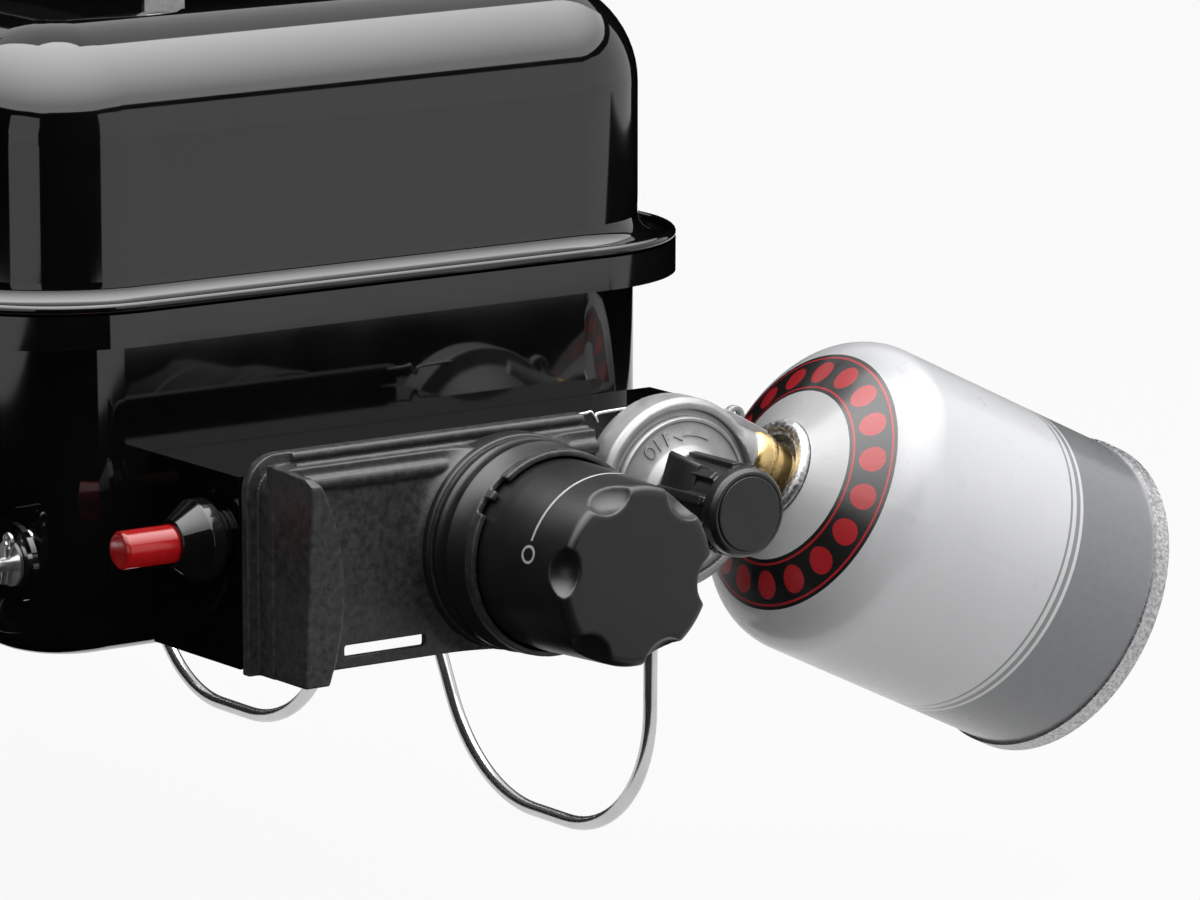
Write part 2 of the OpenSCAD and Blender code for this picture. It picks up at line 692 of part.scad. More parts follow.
// Gas line from the regulator to the valve
module outlet_pipe() {
    color(die_cast) difference() {
        along_y([valve_pipe_x, pipe_start_y, knob_z]) cylinder(d = pipe_d, h = regulator_y - pipe_start_y);
        along_y([valve_pipe_x, pipe_start_y - cut, knob_z])
            cylinder(d = pipe_bore, h = regulator_y - pipe_start_y + 2 * cut);
    }
}

// Regulator: a die-cast pan with a rear boss, an inlet arm and a lug, and a ringed front cover
inlet_axis = [0, cos(cartridge_slope), -sin(cartridge_slope)];
cup_at = [cartridge_x, cup_y, cup_z];
spigot = 6;                     // length of the nut's spigot in the inlet arm
regulator_rim = 4;              // width of the body's rolled rim, round the cover
arm_end = 7;                    // from the end of the inlet arm to the cup's rim
arm_d = 19;
spigot_d = 12;
boss_r = 15;                    // rear boss against the housing
lug_at = [regulator_y + 27, regulator_z + 22.4];
spindle_d = 7;
cover_t = 6;                    // depth of the seat for the cover

// Turned shapes along the cartridge's axis, from a distance behind the cup's rim
module on_inlet(s) {
    translate(cup_at + inlet_axis * s) rotate([-90 - cartridge_slope, 0, 0]) children();
}

module regulator_body() {
    r = regulator_d / 2;
    deep = regulator_x - step_x;
    color(die_cast) difference() {
        union() {
            along_x([step_x, regulator_y, regulator_z]) rotate_extrude() polygon([
                [0, 0], [boss_r, 0], [boss_r, deep - 28], [r - 6, deep - 14], [r, deep - 12], [r, deep - 1.8],
                [r - 1.8, deep], [r - regulator_rim, deep], [r - regulator_rim, deep - cover_t],
                [0, deep - cover_t]
            ]);
            on_inlet(-40) cylinder(d = arm_d, h = 40 - arm_end);
            on_inlet(-arm_end - 8) cylinder(d = arm_d + 3, h = 8);
            along_x([regulator_x - 9, lug_at[0], lug_at[1]]) cylinder(d = 7.5, h = 3);
        }
        along_x([regulator_x - 13, regulator_y, regulator_z]) cylinder(d = 2 * r - 16, h = 2 * cut);
        on_inlet(-arm_end - spigot) cylinder(d = spigot_d + 2 * press_gap, h = 4 * cut);
        along_x([regulator_x - cover_t, regulator_y, regulator_z])
            cylinder(r = r - regulator_rim, h = 2 * cut);
        along_x([regulator_x - 12, lug_at[0], lug_at[1]]) cylinder(d = 3.6, h = cut);
        along_y([valve_pipe_x, regulator_y - 3 * cut, knob_z])
            cylinder(d = pipe_d + 2 * press_gap, h = 3 * cut);
        along_x([step_x - 1, regulator_y, regulator_z]) cylinder(d = pipe_bore, h = 4 * cut);
        for (y = regulator_screw_y)
            along_x([step_x - 1, y, regulator_screw_z]) cylinder(d = small_screw + 2 * press_gap, h = 11);
    }
}

module regulator_cover() {
    r = regulator_d / 2 - regulator_rim - 2 * press_gap;
    color(die_cast) difference() {
        along_x([regulator_x - cover_t, regulator_y, regulator_z]) rotate_extrude() difference() {
            polygon([
                [0, 0], [r, 0], [r, 4.4], [r - 4.5, 4.4], [r - 6, 6.4], [r - 8, 6.4], [17, 8], [15, 12], [0, 12]
            ]);
            square([r - 6, 3]);
        }
        along_x([regulator_x - cut, regulator_y, regulator_z])
            cylinder(d = spindle_d + 2 * stem_gap, h = 3 * cut);
    }
}

module regulator_screws() {
    color(steel) for (y = regulator_screw_y)
        along_x([step_x - plate, y, regulator_screw_z]) mirror([0, 0, 1])
            screw(small_screw, 10, 2 * small_screw, 2);
}

// Shut-off knob on the regulator
cap_x = regulator_x + 38;
cap_seat = 1.5;                 // depth of the cap's seat in the knob's end
cap_d = 23;
shut_off_r = 12.4;              // radius of the knob between its ribs
shut_off_ribs = 10;
rib = [2.6, 3.2, 24.5];         // height, width and length of each rib
module regulator_spindle() {
    color(steel) along_x([regulator_x - 8, regulator_y, regulator_z]) cylinder(d = spindle_d, h = 30);
}

module regulator_knob() {
    foot = regulator_x + cover_t + seat_gap;
    long = cap_x - foot;
    r = shut_off_r;
    color(black_plastic) difference() {
        union() {
            along_x([foot, regulator_y, regulator_z]) rotate_extrude() polygon([
                [0, 0], [r + 1, 0], [r + 0.2, 4], [r, 24], [r + 1.4, 26], [r + 1.4, long - 1.6],
                [r + 0.2, long], [0, long]
            ]);
            for (i = [0:shut_off_ribs - 1])
                along_x([foot, regulator_y, regulator_z]) rotate([0, 0, 360 * i / shut_off_ribs])
                    translate([r - 0.4, -rib[1] / 2, 0]) cube(rib);
        }
        along_x([foot - 1, regulator_y, regulator_z]) cylinder(d = spindle_d + 2 * press_gap, h = 17);
        along_x([cap_x - cap_seat, regulator_y, regulator_z]) cylinder(d = cap_d, h = cut);
    }
}

module regulator_knob_cap() {
    color(black_plastic) along_x([cap_x - cap_seat, regulator_y, regulator_z])
        cylinder(d = cap_d - 0.2, h = cap_seat + 0.3);
}

nut_r = 9;
nut_bore = 5.6;
module inlet_nut() {
    r = spigot_d / 2;
    color(brass) on_inlet(-arm_end) rotate_extrude() polygon([
        [2.5, -spigot], [r, -spigot], [r, 0], [nut_r, 0], [nut_r, arm_end + 1], [nut_r - 1.5, arm_end + 4],
        [nut_bore, arm_end + 4], [nut_bore, 1], [2.5, 1]
    ]);
}

// Gas cartridge: a drawn can with a domed shoulder, a seamed base, a valve cup and a screw valve
can_t = 1;
cup_r = 15.5;                   // middle of the cup's rolled rim
cup_roll = 2.2;
dome_slope = 25;                // fall of the shoulder, in degrees
knuckle = 18;                   // outer radius of the bend from the shoulder into the side
seam_h = 6;

// An arc of sheet of that outer radius, from one angle to another less than 90 degrees on
module arc_section(radius, thickness, from, to) {
    reach = 2 * radius;
    intersection() {
        difference() {
            circle(radius);
            circle(radius - thickness);
        }
        polygon([[0, 0], reach * [cos(from), sin(from)], reach * [cos(to), sin(to)]]);
    }
}

// The shoulder slopes straight from the cup, then bends into the side
module can_section() {
    r = cartridge_d / 2;
    neck = cup_r + cup_roll + 0.1;
    edge_r = r - knuckle + knuckle * sin(dome_slope);
    edge_s = (edge_r - cup_r) * tan(dome_slope);
    side_s = edge_s + knuckle * cos(dome_slope);
    inward = can_t * [-sin(dome_slope), cos(dome_slope)];
    neck_at = [neck, (neck - cup_r) * tan(dome_slope)];
    polygon([neck_at, [edge_r, edge_s], [edge_r, edge_s] + inward, neck_at + [0, can_t / cos(dome_slope)]]);
    translate([r - knuckle, side_s]) arc_section(knuckle, can_t, dome_slope - 91, 1);
    translate([r - can_t, side_s]) square([can_t, cartridge_length - side_s - seam_h - 0.05]);
}

module cartridge_can() {
    color([0.9, 0.9, 0.92]) on_inlet(0) rotate_extrude() can_section();
}

module cartridge_base() {
    r = cartridge_d / 2;
    color(steel) on_inlet(cartridge_length) mirror([0, 0, 1]) rotate_extrude() {
        translate([r - 3.5, 0]) square([4.5, seam_h]);
        translate([0, seam_h + 1]) square([r - 3, 1]);
        translate([r - 4.5, seam_h - 1]) square([3, 3]);
    }
}

valve_d = 10.6;
module cartridge_cup() {
    color(steel) on_inlet(0) rotate_extrude() {
        translate([cup_r, 0.2]) circle(cup_roll);
        translate([cup_r - 3.2, -0.6]) square([1.2, 6.3]);
        translate([cup_r - 3.2, -0.6]) square([3.2, 1.2]);
        translate([valve_d / 2 + 0.01, 4.5]) square([cup_r - 2 - valve_d / 2, 1.2]);
    }
}

module cartridge_valve() {
    color(steel) on_inlet(0) rotate_extrude() polygon([
        [1.5, 1], [1.5, 2 - arm_end], [valve_d / 2, 2 - arm_end], [valve_d / 2, 5.8],
        [7, 5.8], [7, 7.5], [0, 7.5], [0, 1]
    ]);
}

// Igniter on the housing's front side
igniter_x = housing_x - 14;
igniter_z = knob_z + 7.5;
igniter_d = 12;
igniter_bore = 9;
button_d = 12.5;
nut_reach = 17;                 // from the housing to the face of the igniter's nut
nut_face_y = housing_front_y - nut_reach;
button_pocket = 8.2;            // from the housing to the bottom of the button's pocket
igniter_seat = nut_reach - button_pocket - 0.5 - igniter_travel;
module igniter_body() {
    color(black_plastic) difference() {
        union() {
            along_y([igniter_x, housing_front_y - 8, igniter_z]) cylinder(d = igniter_d, h = 54);
            along_y([igniter_x, housing_front_y + plate, igniter_z]) cylinder(d = igniter_d + 5, h = 30);
        }
        along_y([igniter_x, housing_front_y - cut, igniter_z]) cylinder(d = igniter_bore, h = 41);
    }
}

module igniter_nut() {
    color(black_plastic) difference() {
        along_front([igniter_x, housing_front_y, igniter_z]) rotate_extrude() polygon([
            [0, 0], [10, 0], [10, 3], [13.5, 4], [13.5, 9], [7.6, nut_reach], [0, nut_reach]
        ]);
        along_front([igniter_x, housing_front_y - button_pocket, igniter_z])
            cylinder(d = button_d + 2 * stem_gap, h = 2 * cut);
        along_front([igniter_x, housing_front_y + 1, igniter_z])
            cylinder(d = igniter_d + 2 * press_gap, h = 12);
    }
}

module igniter_button() {
    color([0.8, 0.1, 0.1]) {
        along_front([igniter_x, nut_face_y + igniter_seat, igniter_z]) rotate_extrude() polygon([
            [0, 0], [button_d / 2, 0], [button_d / 2, 21], [button_d / 2 - 1, 22], [0, 22]
        ]);
        along_front([igniter_x, nut_face_y + 26, igniter_z]) cylinder(d = igniter_bore - 2 * stem_gap, h = 26);
    }
}

// Ignition lead, from the igniter to the electrode's end, and the electrode beside the burner
electrode_y = knob_y - 32;
electrode_z = knob_z + 4;
electrode_d = 7;
lead_d = 2.4;
module igniter_lead() {
    start = [igniter_x, nut_face_y + 63, igniter_z];
    end = [end_x + 9, electrode_y, electrode_z];
    color(black_plastic) bent_wire(
        [start, [start[0], end[1], start[2]], [start[0] - 14, end[1], end[2]], end], [0, 4, 4, 0], lead_d);
}

module igniter_electrode() {
    color([0.92, 0.9, 0.85]) {
        along_x([end_x - 22, electrode_y, electrode_z]) cylinder(d = electrode_d, h = 31);
        along_x([housing_back_x, electrode_y, electrode_z]) cylinder(d = electrode_d + 3, h = 4);
        bent_wire([[end_x - 20, electrode_y, electrode_z], [end_x - 34, electrode_y, electrode_z],
            [end_x - 34, knob_y - 16, knob_z + 10]], [0, 5, 0], 1.8);
    }
}

// Wire legs: front and rear feet in one bent wire, with a bar that rests under the bowl
function mirrored_y(p) = [for (i = [len(p) - 1:-1:0]) [p[i][0], -p[i][1], p[i][2]]];
function reversed(v) = [for (i = [len(v) - 1:-1:0]) v[i]];

leg_bar_x = 7;
leg_bar_z = bowl_clearance - wire_r - seat_gap;
leg_knee = 52;                  // from the pivot down to the bend in each arm
foot_length = leg_outer_x - leg_inner_x;
leg_half = [
    [leg_pivot_x, side_y - 6, pivot_z],
    [leg_pivot_x, leg_arm_y, pivot_z],
    [leg_outer_x + 1, leg_arm_y, pivot_z - leg_knee],
    [leg_outer_x, leg_arm_y, wire_r],
    [leg_inner_x, leg_arm_y, wire_r],
    [leg_bar_x, leg_arm_y, leg_bar_z]
];
leg_bends = [0, 7, 40, min(50, 0.48 * foot_length), min(58, 0.6 * foot_length), 12];
module leg_wire() {
    difference() {
        bent_wire(concat(leg_half, mirrored_y(leg_half)), concat(leg_bends, reversed(leg_bends)), wire_d);
        for (m = [0, 1]) mirror([0, m, 0]) for (y = cotter_y) cotter_pin(y, cotter_d + 4 * press_gap);
    }
}

// Washers on both sides of each bracket
washer_d = 15;
washer_t = 1.2;
washer_y = [side_y + bracket_t + seat_gap, side_y - seat_gap - washer_t];
module leg_washers() {
    for (m = [0, 1]) mirror([0, m, 0]) for (y = washer_y)
        along_y([leg_pivot_x, y, pivot_z]) difference() {
            cylinder(d = washer_d, h = washer_t);
            translate([0, 0, -cut]) cylinder(d = wire_d + 2 * press_gap, h = 2 * cut);
        }
}

// Cotter pins: a split pin through the wire beside each outer and inner washer
cotter_d = 1.6;
cotter_eye_r = 2;
cotter_y = [washer_y[0] + 2 * washer_t, washer_y[1] - washer_t];
cotter_low = [leg_pivot_x - 2, pivot_z - 7];
cotter_high = [leg_pivot_x + 1.5, pivot_z + 6];
module cotter_pin(y, d) {
    rod([cotter_low[0], y, cotter_low[1]], [cotter_high[0], y, cotter_high[1]], d);
}

module leg_cotters() {
    for (m = [0, 1]) mirror([0, m, 0]) for (y = cotter_y) {
        cotter_pin(y, cotter_d);
        translate([cotter_high[0] + 0.7, y, cotter_high[1] + cotter_eye_r]) rotate([90, 0, 0]) rotate_extrude()
            translate([cotter_eye_r, 0]) circle(d = cotter_d);
    }
}

module right_leg() {
    color(steel) leg_wire();
}
module right_leg_washers() {
    color(steel) leg_washers();
}
module right_leg_cotters() {
    color(steel) leg_cotters();
}
module left_leg() {
    color(steel) mirror([1, 0, 0]) leg_wire();
}
module left_leg_washers() {
    color(steel) mirror([1, 0, 0]) leg_washers();
}
module left_leg_cotters() {
    color(steel) mirror([1, 0, 0]) leg_cotters();
}

translate(shift) bowl();
translate(shift) leg_brackets();
translate(shift) lid_shell();
translate(shift) handle_grip();
translate(shift) handle_brackets();
translate(shift) handle_bolts();
translate(shift) cooking_grate();
translate(shift) burner_tube();
translate(shift) burner_bracket();
translate(shift) burner_bracket_screws();
translate(shift) heat_shield();
translate(shift) control_housing();
translate(shift) housing_screws();
translate(shift) control_bezel();
translate(shift) bezel_screws();
translate(shift) gas_valve();
translate(shift) valve_screws();
translate(shift) gas_jet();
translate(shift) valve_stem();
translate(shift) control_knob();
translate(shift) outlet_pipe();
translate(shift) regulator_body();
translate(shift) regulator_cover();
translate(shift) regulator_screws();
translate(shift) regulator_spindle();
translate(shift) regulator_knob();
translate(shift) regulator_knob_cap();
translate(shift) inlet_nut();
translate(shift) cartridge_can();
translate(shift) cartridge_base();
translate(shift) cartridge_cup();
translate(shift) cartridge_valve();
translate(shift) igniter_body();
translate(shift) igniter_nut();
translate(shift) igniter_button();
translate(shift) igniter_lead();
translate(shift) igniter_electrode();
translate(shift) right_leg();
translate(shift) right_leg_washers();
translate(shift) right_leg_cotters();
translate(shift) left_leg();
translate(shift) left_leg_washers();
translate(shift) left_leg_cotters();
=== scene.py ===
# %% [markdown]
# A portable gas grill, dressed for a picture.
# The solids arrive already built and placed, so this lesson is about what a maker adds on
# top: softened moulding edges, printed marks, cast lettering, and a finish for every surface.

# %% Load the solids
import json
import math
import bpy
from mathutils import Matrix, Vector

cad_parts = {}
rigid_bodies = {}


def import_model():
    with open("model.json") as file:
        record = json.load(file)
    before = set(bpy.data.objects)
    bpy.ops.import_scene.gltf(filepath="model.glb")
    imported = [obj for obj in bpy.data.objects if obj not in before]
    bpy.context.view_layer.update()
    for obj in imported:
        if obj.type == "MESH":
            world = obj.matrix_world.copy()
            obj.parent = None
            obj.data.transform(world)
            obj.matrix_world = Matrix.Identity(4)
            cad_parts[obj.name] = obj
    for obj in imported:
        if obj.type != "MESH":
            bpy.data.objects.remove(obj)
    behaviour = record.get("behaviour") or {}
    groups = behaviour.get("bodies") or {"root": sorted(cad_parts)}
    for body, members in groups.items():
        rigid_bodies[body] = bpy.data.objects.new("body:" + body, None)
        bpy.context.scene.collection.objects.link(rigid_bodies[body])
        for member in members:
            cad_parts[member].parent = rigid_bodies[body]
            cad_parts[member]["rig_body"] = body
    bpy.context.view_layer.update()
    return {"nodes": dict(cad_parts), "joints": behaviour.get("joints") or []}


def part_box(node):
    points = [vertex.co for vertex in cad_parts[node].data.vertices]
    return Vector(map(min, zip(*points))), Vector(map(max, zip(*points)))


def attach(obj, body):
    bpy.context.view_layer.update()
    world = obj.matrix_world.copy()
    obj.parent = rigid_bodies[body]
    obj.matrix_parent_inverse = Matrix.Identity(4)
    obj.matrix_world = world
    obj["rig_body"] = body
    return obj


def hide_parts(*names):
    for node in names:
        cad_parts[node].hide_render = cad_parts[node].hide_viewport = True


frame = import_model()
nodes = frame["nodes"]
MM = 0.001

# %% [markdown]
# The picture was taken with a long lens from the front right, a little above the lid.
# One point of the object, the middle of the rim's right-hand end, is known in the picture,
# and so is the scale there. With the two viewing angles that is enough to place the camera.
# Turning the three axes into a matrix keeps the horizon level without any trial and error.

# %% Camera
PICTURE = (1200, 900)
FOCAL_PIXELS = 7500
LIP_PIXEL = (383.4, 284.5)
LIP_PIXELS_PER_MM = 3.05
VIEW_TURN = math.radians(35.4)
VIEW_DROP = math.radians(11.0)
SENSOR_MM = 36
FARTHEST = 50

bowl_low, bowl_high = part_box("bowl")
middle_y = (bowl_low.y + bowl_high.y) / 2
rim_lip = Vector((bowl_high.x, middle_y, bowl_high.z))
forward = Vector((-math.cos(VIEW_TURN) * math.cos(VIEW_DROP),
                  math.sin(VIEW_TURN) * math.cos(VIEW_DROP), -math.sin(VIEW_DROP)))
right = Vector((math.sin(VIEW_TURN), math.cos(VIEW_TURN), 0))
up = right.cross(forward)
ray = forward + right * ((LIP_PIXEL[0] - PICTURE[0] / 2) / FOCAL_PIXELS) \
    - up * ((LIP_PIXEL[1] - PICTURE[1] / 2) / FOCAL_PIXELS)
eye = rim_lip - ray * (FOCAL_PIXELS / LIP_PIXELS_PER_MM * MM)

bpy.ops.object.select_all(action="DESELECT")
bpy.ops.object.camera_add()
camera = bpy.context.object
camera.name = "camera"
camera.data.sensor_width = SENSOR_MM
camera.data.lens = SENSOR_MM * FOCAL_PIXELS / PICTURE[0]
camera.data.clip_end = FARTHEST
camera.matrix_world = Matrix.Translation(eye) \
    @ Matrix((right, up, -forward)).transposed().to_4x4()
bpy.context.scene.camera = camera
bpy.context.scene.view_settings.view_transform = "Standard"
print("camera at", [round(v, 3) for v in eye], "lens", camera.data.lens)

# %% [markdown]
# The floor and the world are plain white. The floor could be lit until it burns out, but then
# it would throw light up at the grill. So it glows only for rays that see it directly, and
# for all other light it is a mid-grey surface that still takes the grill's soft shadow.

# %% Node helpers
def new_material(name):
    material = bpy.data.materials.new(name)
    material.use_nodes = True
    tree = material.node_tree
    return material, tree, tree.nodes.get("Principled BSDF")


def add_node(tree, kind, **settings):
    node = tree.nodes.new(kind)
    for key, value in settings.items():
        setattr(node, key, value)
    return node


def set_inputs(node, **values):
    """Sets a node's inputs; an underscore in a name stands for a space."""
    for name, value in values.items():
        node.inputs[name.replace("_", " ")].default_value = value


def show_surface(tree, shader):
    tree.links.new(shader.outputs[0], tree.nodes["Material Output"].inputs["Surface"])


def seen_directly(tree):
    """1 for rays from the camera, from gloss or through glass, and 0 for diffuse light."""
    path = add_node(tree, "ShaderNodeLightPath")
    total = path.outputs["Is Camera Ray"]
    for name in ("Is Glossy Ray", "Is Transmission Ray"):
        most = add_node(tree, "ShaderNodeMath", operation="MAXIMUM")
        tree.links.new(total, most.inputs[0])
        tree.links.new(path.outputs[name], most.inputs[1])
        total = most.outputs[0]
    return total


# %% Floor
FLOOR_SIZE = 16
FLOOR_DROP = 0.2 * MM
FLOOR_GREY = 0.5
FLOOR_ROUGH = 0.9
WHITE_SHARE = 0.94

bpy.ops.object.select_all(action="DESELECT")
bpy.ops.mesh.primitive_plane_add(size=FLOOR_SIZE, location=(0, 0, -FLOOR_DROP))
floor = bpy.context.object
floor.name = "floor"
bpy.ops.object.transform_apply(location=True)
floor_paint, tree, bsdf = new_material("floor_white")
set_inputs(bsdf, Base_Color=(FLOOR_GREY, FLOOR_GREY, FLOOR_GREY, 1), Roughness=FLOOR_ROUGH,
           Specular_IOR_Level=0)
glow = add_node(tree, "ShaderNodeEmission")
share = add_node(tree, "ShaderNodeMath", operation="MULTIPLY")
share.inputs[1].default_value = WHITE_SHARE
blend = add_node(tree, "ShaderNodeMixShader")
tree.links.new(seen_directly(tree), share.inputs[0])
tree.links.new(share.outputs[0], blend.inputs[0])
tree.links.new(bsdf.outputs[0], blend.inputs[1])
tree.links.new(glow.outputs[0], blend.inputs[2])
show_surface(tree, blend)
floor.data.materials.append(floor_paint)
print("floor", FLOOR_SIZE, "m, white share", WHITE_SHARE)

# %% World
FILL_LIGHT = 0.16

world = bpy.data.worlds.new("studio_world")
bpy.context.scene.world = world
world.use_nodes = True
tree = world.node_tree
sky = tree.nodes["Background"]
level = add_node(tree, "ShaderNodeMapRange")
set_inputs(level, To_Min=FILL_LIGHT, To_Max=1.0)
tree.links.new(seen_directly(tree), level.inputs["Value"])
tree.links.new(level.outputs["Result"], sky.inputs["Strength"])
set_inputs(sky, Color=(1, 1, 1, 1))
print("world is white; fill light", FILL_LIGHT)

# %% [markdown]
# A black gloss body shows whatever stands around it, so the studio has cards that are seen
# only in reflections, just as a photographer's flags are. Dark cards draw the black bands down
# the round corners, and the bright hood above them draws the pale band along the lid's edge.
# Each is a piece of wall round the grill, given by two compass angles (0 is +X, 90 is +Y) and an
# upright profile. It could be cut from a cylinder, but a line spun round keeps its edges exact.

# %% Profiles of cards and hood
CARD_RADIUS = 1.5
HOOD_RADIUS = 1.62
HOOD_MIDDLE = 0.28
HOOD_STEPS = 9


def upright(low, high):
    return [(CARD_RADIUS, low), (CARD_RADIUS, high)]


def hood(low, high):
    lifts = [math.radians(low + (high - low) * i / HOOD_STEPS) for i in range(HOOD_STEPS + 1)]
    return [(HOOD_RADIUS * math.cos(a), HOOD_MIDDLE + HOOD_RADIUS * math.sin(a)) for a in lifts]


# name: (from angle, to angle, profile)
DARK_CARDS = {
    "card_front": (-48, 3.5, upright(0.0, 0.964)),
    "card_left": (-184, -74, upright(0.0, 1.5)),
    "card_line_left": (-74, -48, upright(0.8, 0.964)),
    "card_line_right": (3.5, 100, upright(0.82, 0.964)),
    "card_right_corner": (100, 122, upright(0.0, 1.0)),
    "card_behind": (122, 176, upright(0.0, 1.1)),
}
BRIGHT_HOODS = {
    "hood_front": (-105, 104, hood(24, 90)),
    "hood_back": (104, 190, hood(73, 90)),
    "hood_left": (190, 255, hood(45, 90)),
}
print("cards", len(DARK_CARDS), "hoods", len(BRIGHT_HOODS))

# %% Paint for cards and hood
HOOD_LEVELS = (2.5, 8.0)

card_paint, tree, bsdf = new_material("card_black")
set_inputs(bsdf, Base_Color=(0, 0, 0, 1), Roughness=1, Specular_IOR_Level=0)
hood_paint, tree, bsdf = new_material("hood_bright")
glow = add_node(tree, "ShaderNodeEmission")
height = add_node(tree, "ShaderNodeSeparateXYZ")
brighter = add_node(tree, "ShaderNodeMapRange")
set_inputs(brighter, From_Min=HOOD_MIDDLE + HOOD_RADIUS / 2, From_Max=HOOD_MIDDLE + HOOD_RADIUS,
           To_Min=HOOD_LEVELS[0], To_Max=HOOD_LEVELS[1])
tree.links.new(add_node(tree, "ShaderNodeTexCoord").outputs["Object"], height.inputs[0])
tree.links.new(height.outputs["Z"], brighter.inputs["Value"])
tree.links.new(brighter.outputs["Result"], glow.inputs["Strength"])
show_surface(tree, glow)
print("hood brightens from", HOOD_LEVELS[0], "to", HOOD_LEVELS[1])

# %% Cards and hood
STUDIO = Vector((0.02, middle_y, 0))
CARD_STEPS = 24


def only_in_reflections(card):
    card.visible_camera = False
    card.visible_diffuse = False
    card.visible_transmission = False
    card.visible_shadow = False


def drawn_line(name, points):
    """A new mesh with a line of edges through some points, left in edit mode."""
    bpy.ops.object.select_all(action="DESELECT")
    bpy.ops.mesh.primitive_plane_add(size=1)
    piece = bpy.context.object
    piece.name = name
    bpy.ops.object.mode_set(mode="EDIT")
    bpy.ops.mesh.select_all(action="SELECT")
    bpy.ops.mesh.merge(type="CENTER")
    bpy.ops.transform.translate(value=points[0])
    for here, there in zip(points, points[1:]):
        bpy.ops.mesh.extrude_region_move(TRANSFORM_OT_translate={"value": there - here})
    return piece


def spin_all(steps, angle, centre, axis):
    bpy.ops.mesh.select_all(action="SELECT")
    bpy.ops.mesh.spin(steps=steps, angle=angle, center=centre, axis=axis)


for cards, paint in ((DARK_CARDS, card_paint), (BRIGHT_HOODS, hood_paint)):
    for name, (start, end, profile) in cards.items():
        outwards = Vector((math.cos(math.radians(start)), math.sin(math.radians(start)), 0))
        line = [STUDIO + outwards * radius + Vector((0, 0, z)) for radius, z in profile]
        card = drawn_line(name, line)
        spin_all(CARD_STEPS, math.radians(start - end), STUDIO, (0, 0, 1))
        bpy.ops.object.mode_set(mode="OBJECT")
        card.data.materials.append(paint)
        only_in_reflections(card)
        print(name, len(card.data.vertices), "points")

# %% [markdown]
# Flat cards on the floor finish the set. From a steep wall the mirror image of the floor lies
# the farther off the higher one looks, so a card that ends at the right distance blackens
# the bowl up to the rim and leaves the lid grey. The others darken the undersides. One large
# sheet would blacken the bright wire legs as well, so there are several with gaps between.

# %% Flat cards
CARD_LIFT = 1 * MM
# name: ((x, y) of one corner, (x, y) of the opposite corner)
FLAT_CARDS = {
    "card_floor_front": ((-0.6, -1.22), (1.5, -0.09)),
    "card_floor_right": ((0.94, -0.09), (1.15, 0.85)),
    "card_floor_under": ((0.03, -0.09), (0.45, 0.035)),
    "card_floor_middle": ((0.45, -0.09), (0.94, 0.2)),
    "card_floor_back": ((-0.9, 0.95), (0.9, 1.8)),
}
for name, (low, high) in FLAT_CARDS.items():
    card = drawn_line(name, [Vector((low[0], y, CARD_LIFT)) for y in (low[1], high[1])])
    bpy.ops.mesh.select_all(action="SELECT")
    bpy.ops.mesh.extrude_region_move(TRANSFORM_OT_translate={"value": (high[0] - low[0], 0, 0)})
    bpy.ops.object.mode_set(mode="OBJECT")
    card.data.materials.append(card_paint)
    only_in_reflections(card)
    print(name, len(card.data.polygons), "face")

# %% [markdown]
# Three soft lamps light what isn't a mirror: the can, the mouldings and the casting.
# They could be bright cards too, but a lamp that no reflection shows can be moved freely
# without drawing a new patch on the enamel. Brightness is given per area, so that a lamp
# keeps its look when its size changes.

# %% Soft lamps
# name: (compass angle, height angle, distance, width, height, radiance)
LAMPS = {
    "top_lamp": (50, 66, 1.6, 1.5, 1.2, 3.6),
    "front_top_lamp": (-30, 66, 1.7, 1.3, 1.0, 0.8),
    "right_lamp": (25, 20, 1.6, 0.9, 0.7, 2.6),
}
AIM = Vector((0.1, middle_y, 0.2))
for name, (turn, lift, far, wide, tall, radiance) in LAMPS.items():
    turn, lift = math.radians(turn), math.radians(lift)
    away = Vector((math.cos(turn) * math.cos(lift), math.sin(turn) * math.cos(lift),
                   math.sin(lift)))
    bpy.ops.object.select_all(action="DESELECT")
    bpy.ops.object.light_add(type="AREA", location=AIM + away * far)
    lamp = bpy.context.object
    lamp.name = name
    lamp.rotation_euler = away.to_track_quat("Z", "Y").to_euler()
    lamp.data.shape = "RECTANGLE"
    lamp.data.size = wide
    lamp.data.size_y = tall
    lamp.data.energy = radiance * math.pi * wide * tall
    lamp.visible_glossy = False
    print(name, "energy", round(lamp.data.energy, 2))

# %% [markdown]
# Finishes come next. All of them read Object coordinates, which are metres here, so a noise
# scale of 1000 means grains about a millimetre across. A finish has three layers: a colour
# that drifts a little, a roughness that drifts with it, and a fine bump for the grain.
# Painted pictures could do the same, but nodes need no unwrapping and stay sharp at any size.

# %% Finish helpers
NOISE_LOW, NOISE_HIGH = 0.3, 0.7


def noise(tree, scale, detail=2.0):
    """A noise value between 0 and 1, on Object coordinates."""
    place = add_node(tree, "ShaderNodeTexCoord").outputs["Object"]
    texture = add_node(tree, "ShaderNodeTexNoise")
    set_inputs(texture, Scale=scale, Detail=detail)
    tree.links.new(place, texture.inputs["Vector"])
    return texture.outputs["Fac"]


def spread(tree, value, low, high):
    """Maps a noise value to a range, clamped."""
    ranged = add_node(tree, "ShaderNodeMapRange")
    set_inputs(ranged, From_Min=NOISE_LOW, From_Max=NOISE_HIGH, To_Min=low, To_Max=high)
    tree.links.new(value, ranged.inputs["Value"])
    return ranged.outputs["Result"]


def plug(tree, socket, value):
    """Links an output to an input, or sets the input to a plain value."""
    if hasattr(value, "is_output"):
        tree.links.new(value, socket)
    else:
        socket.default_value = value


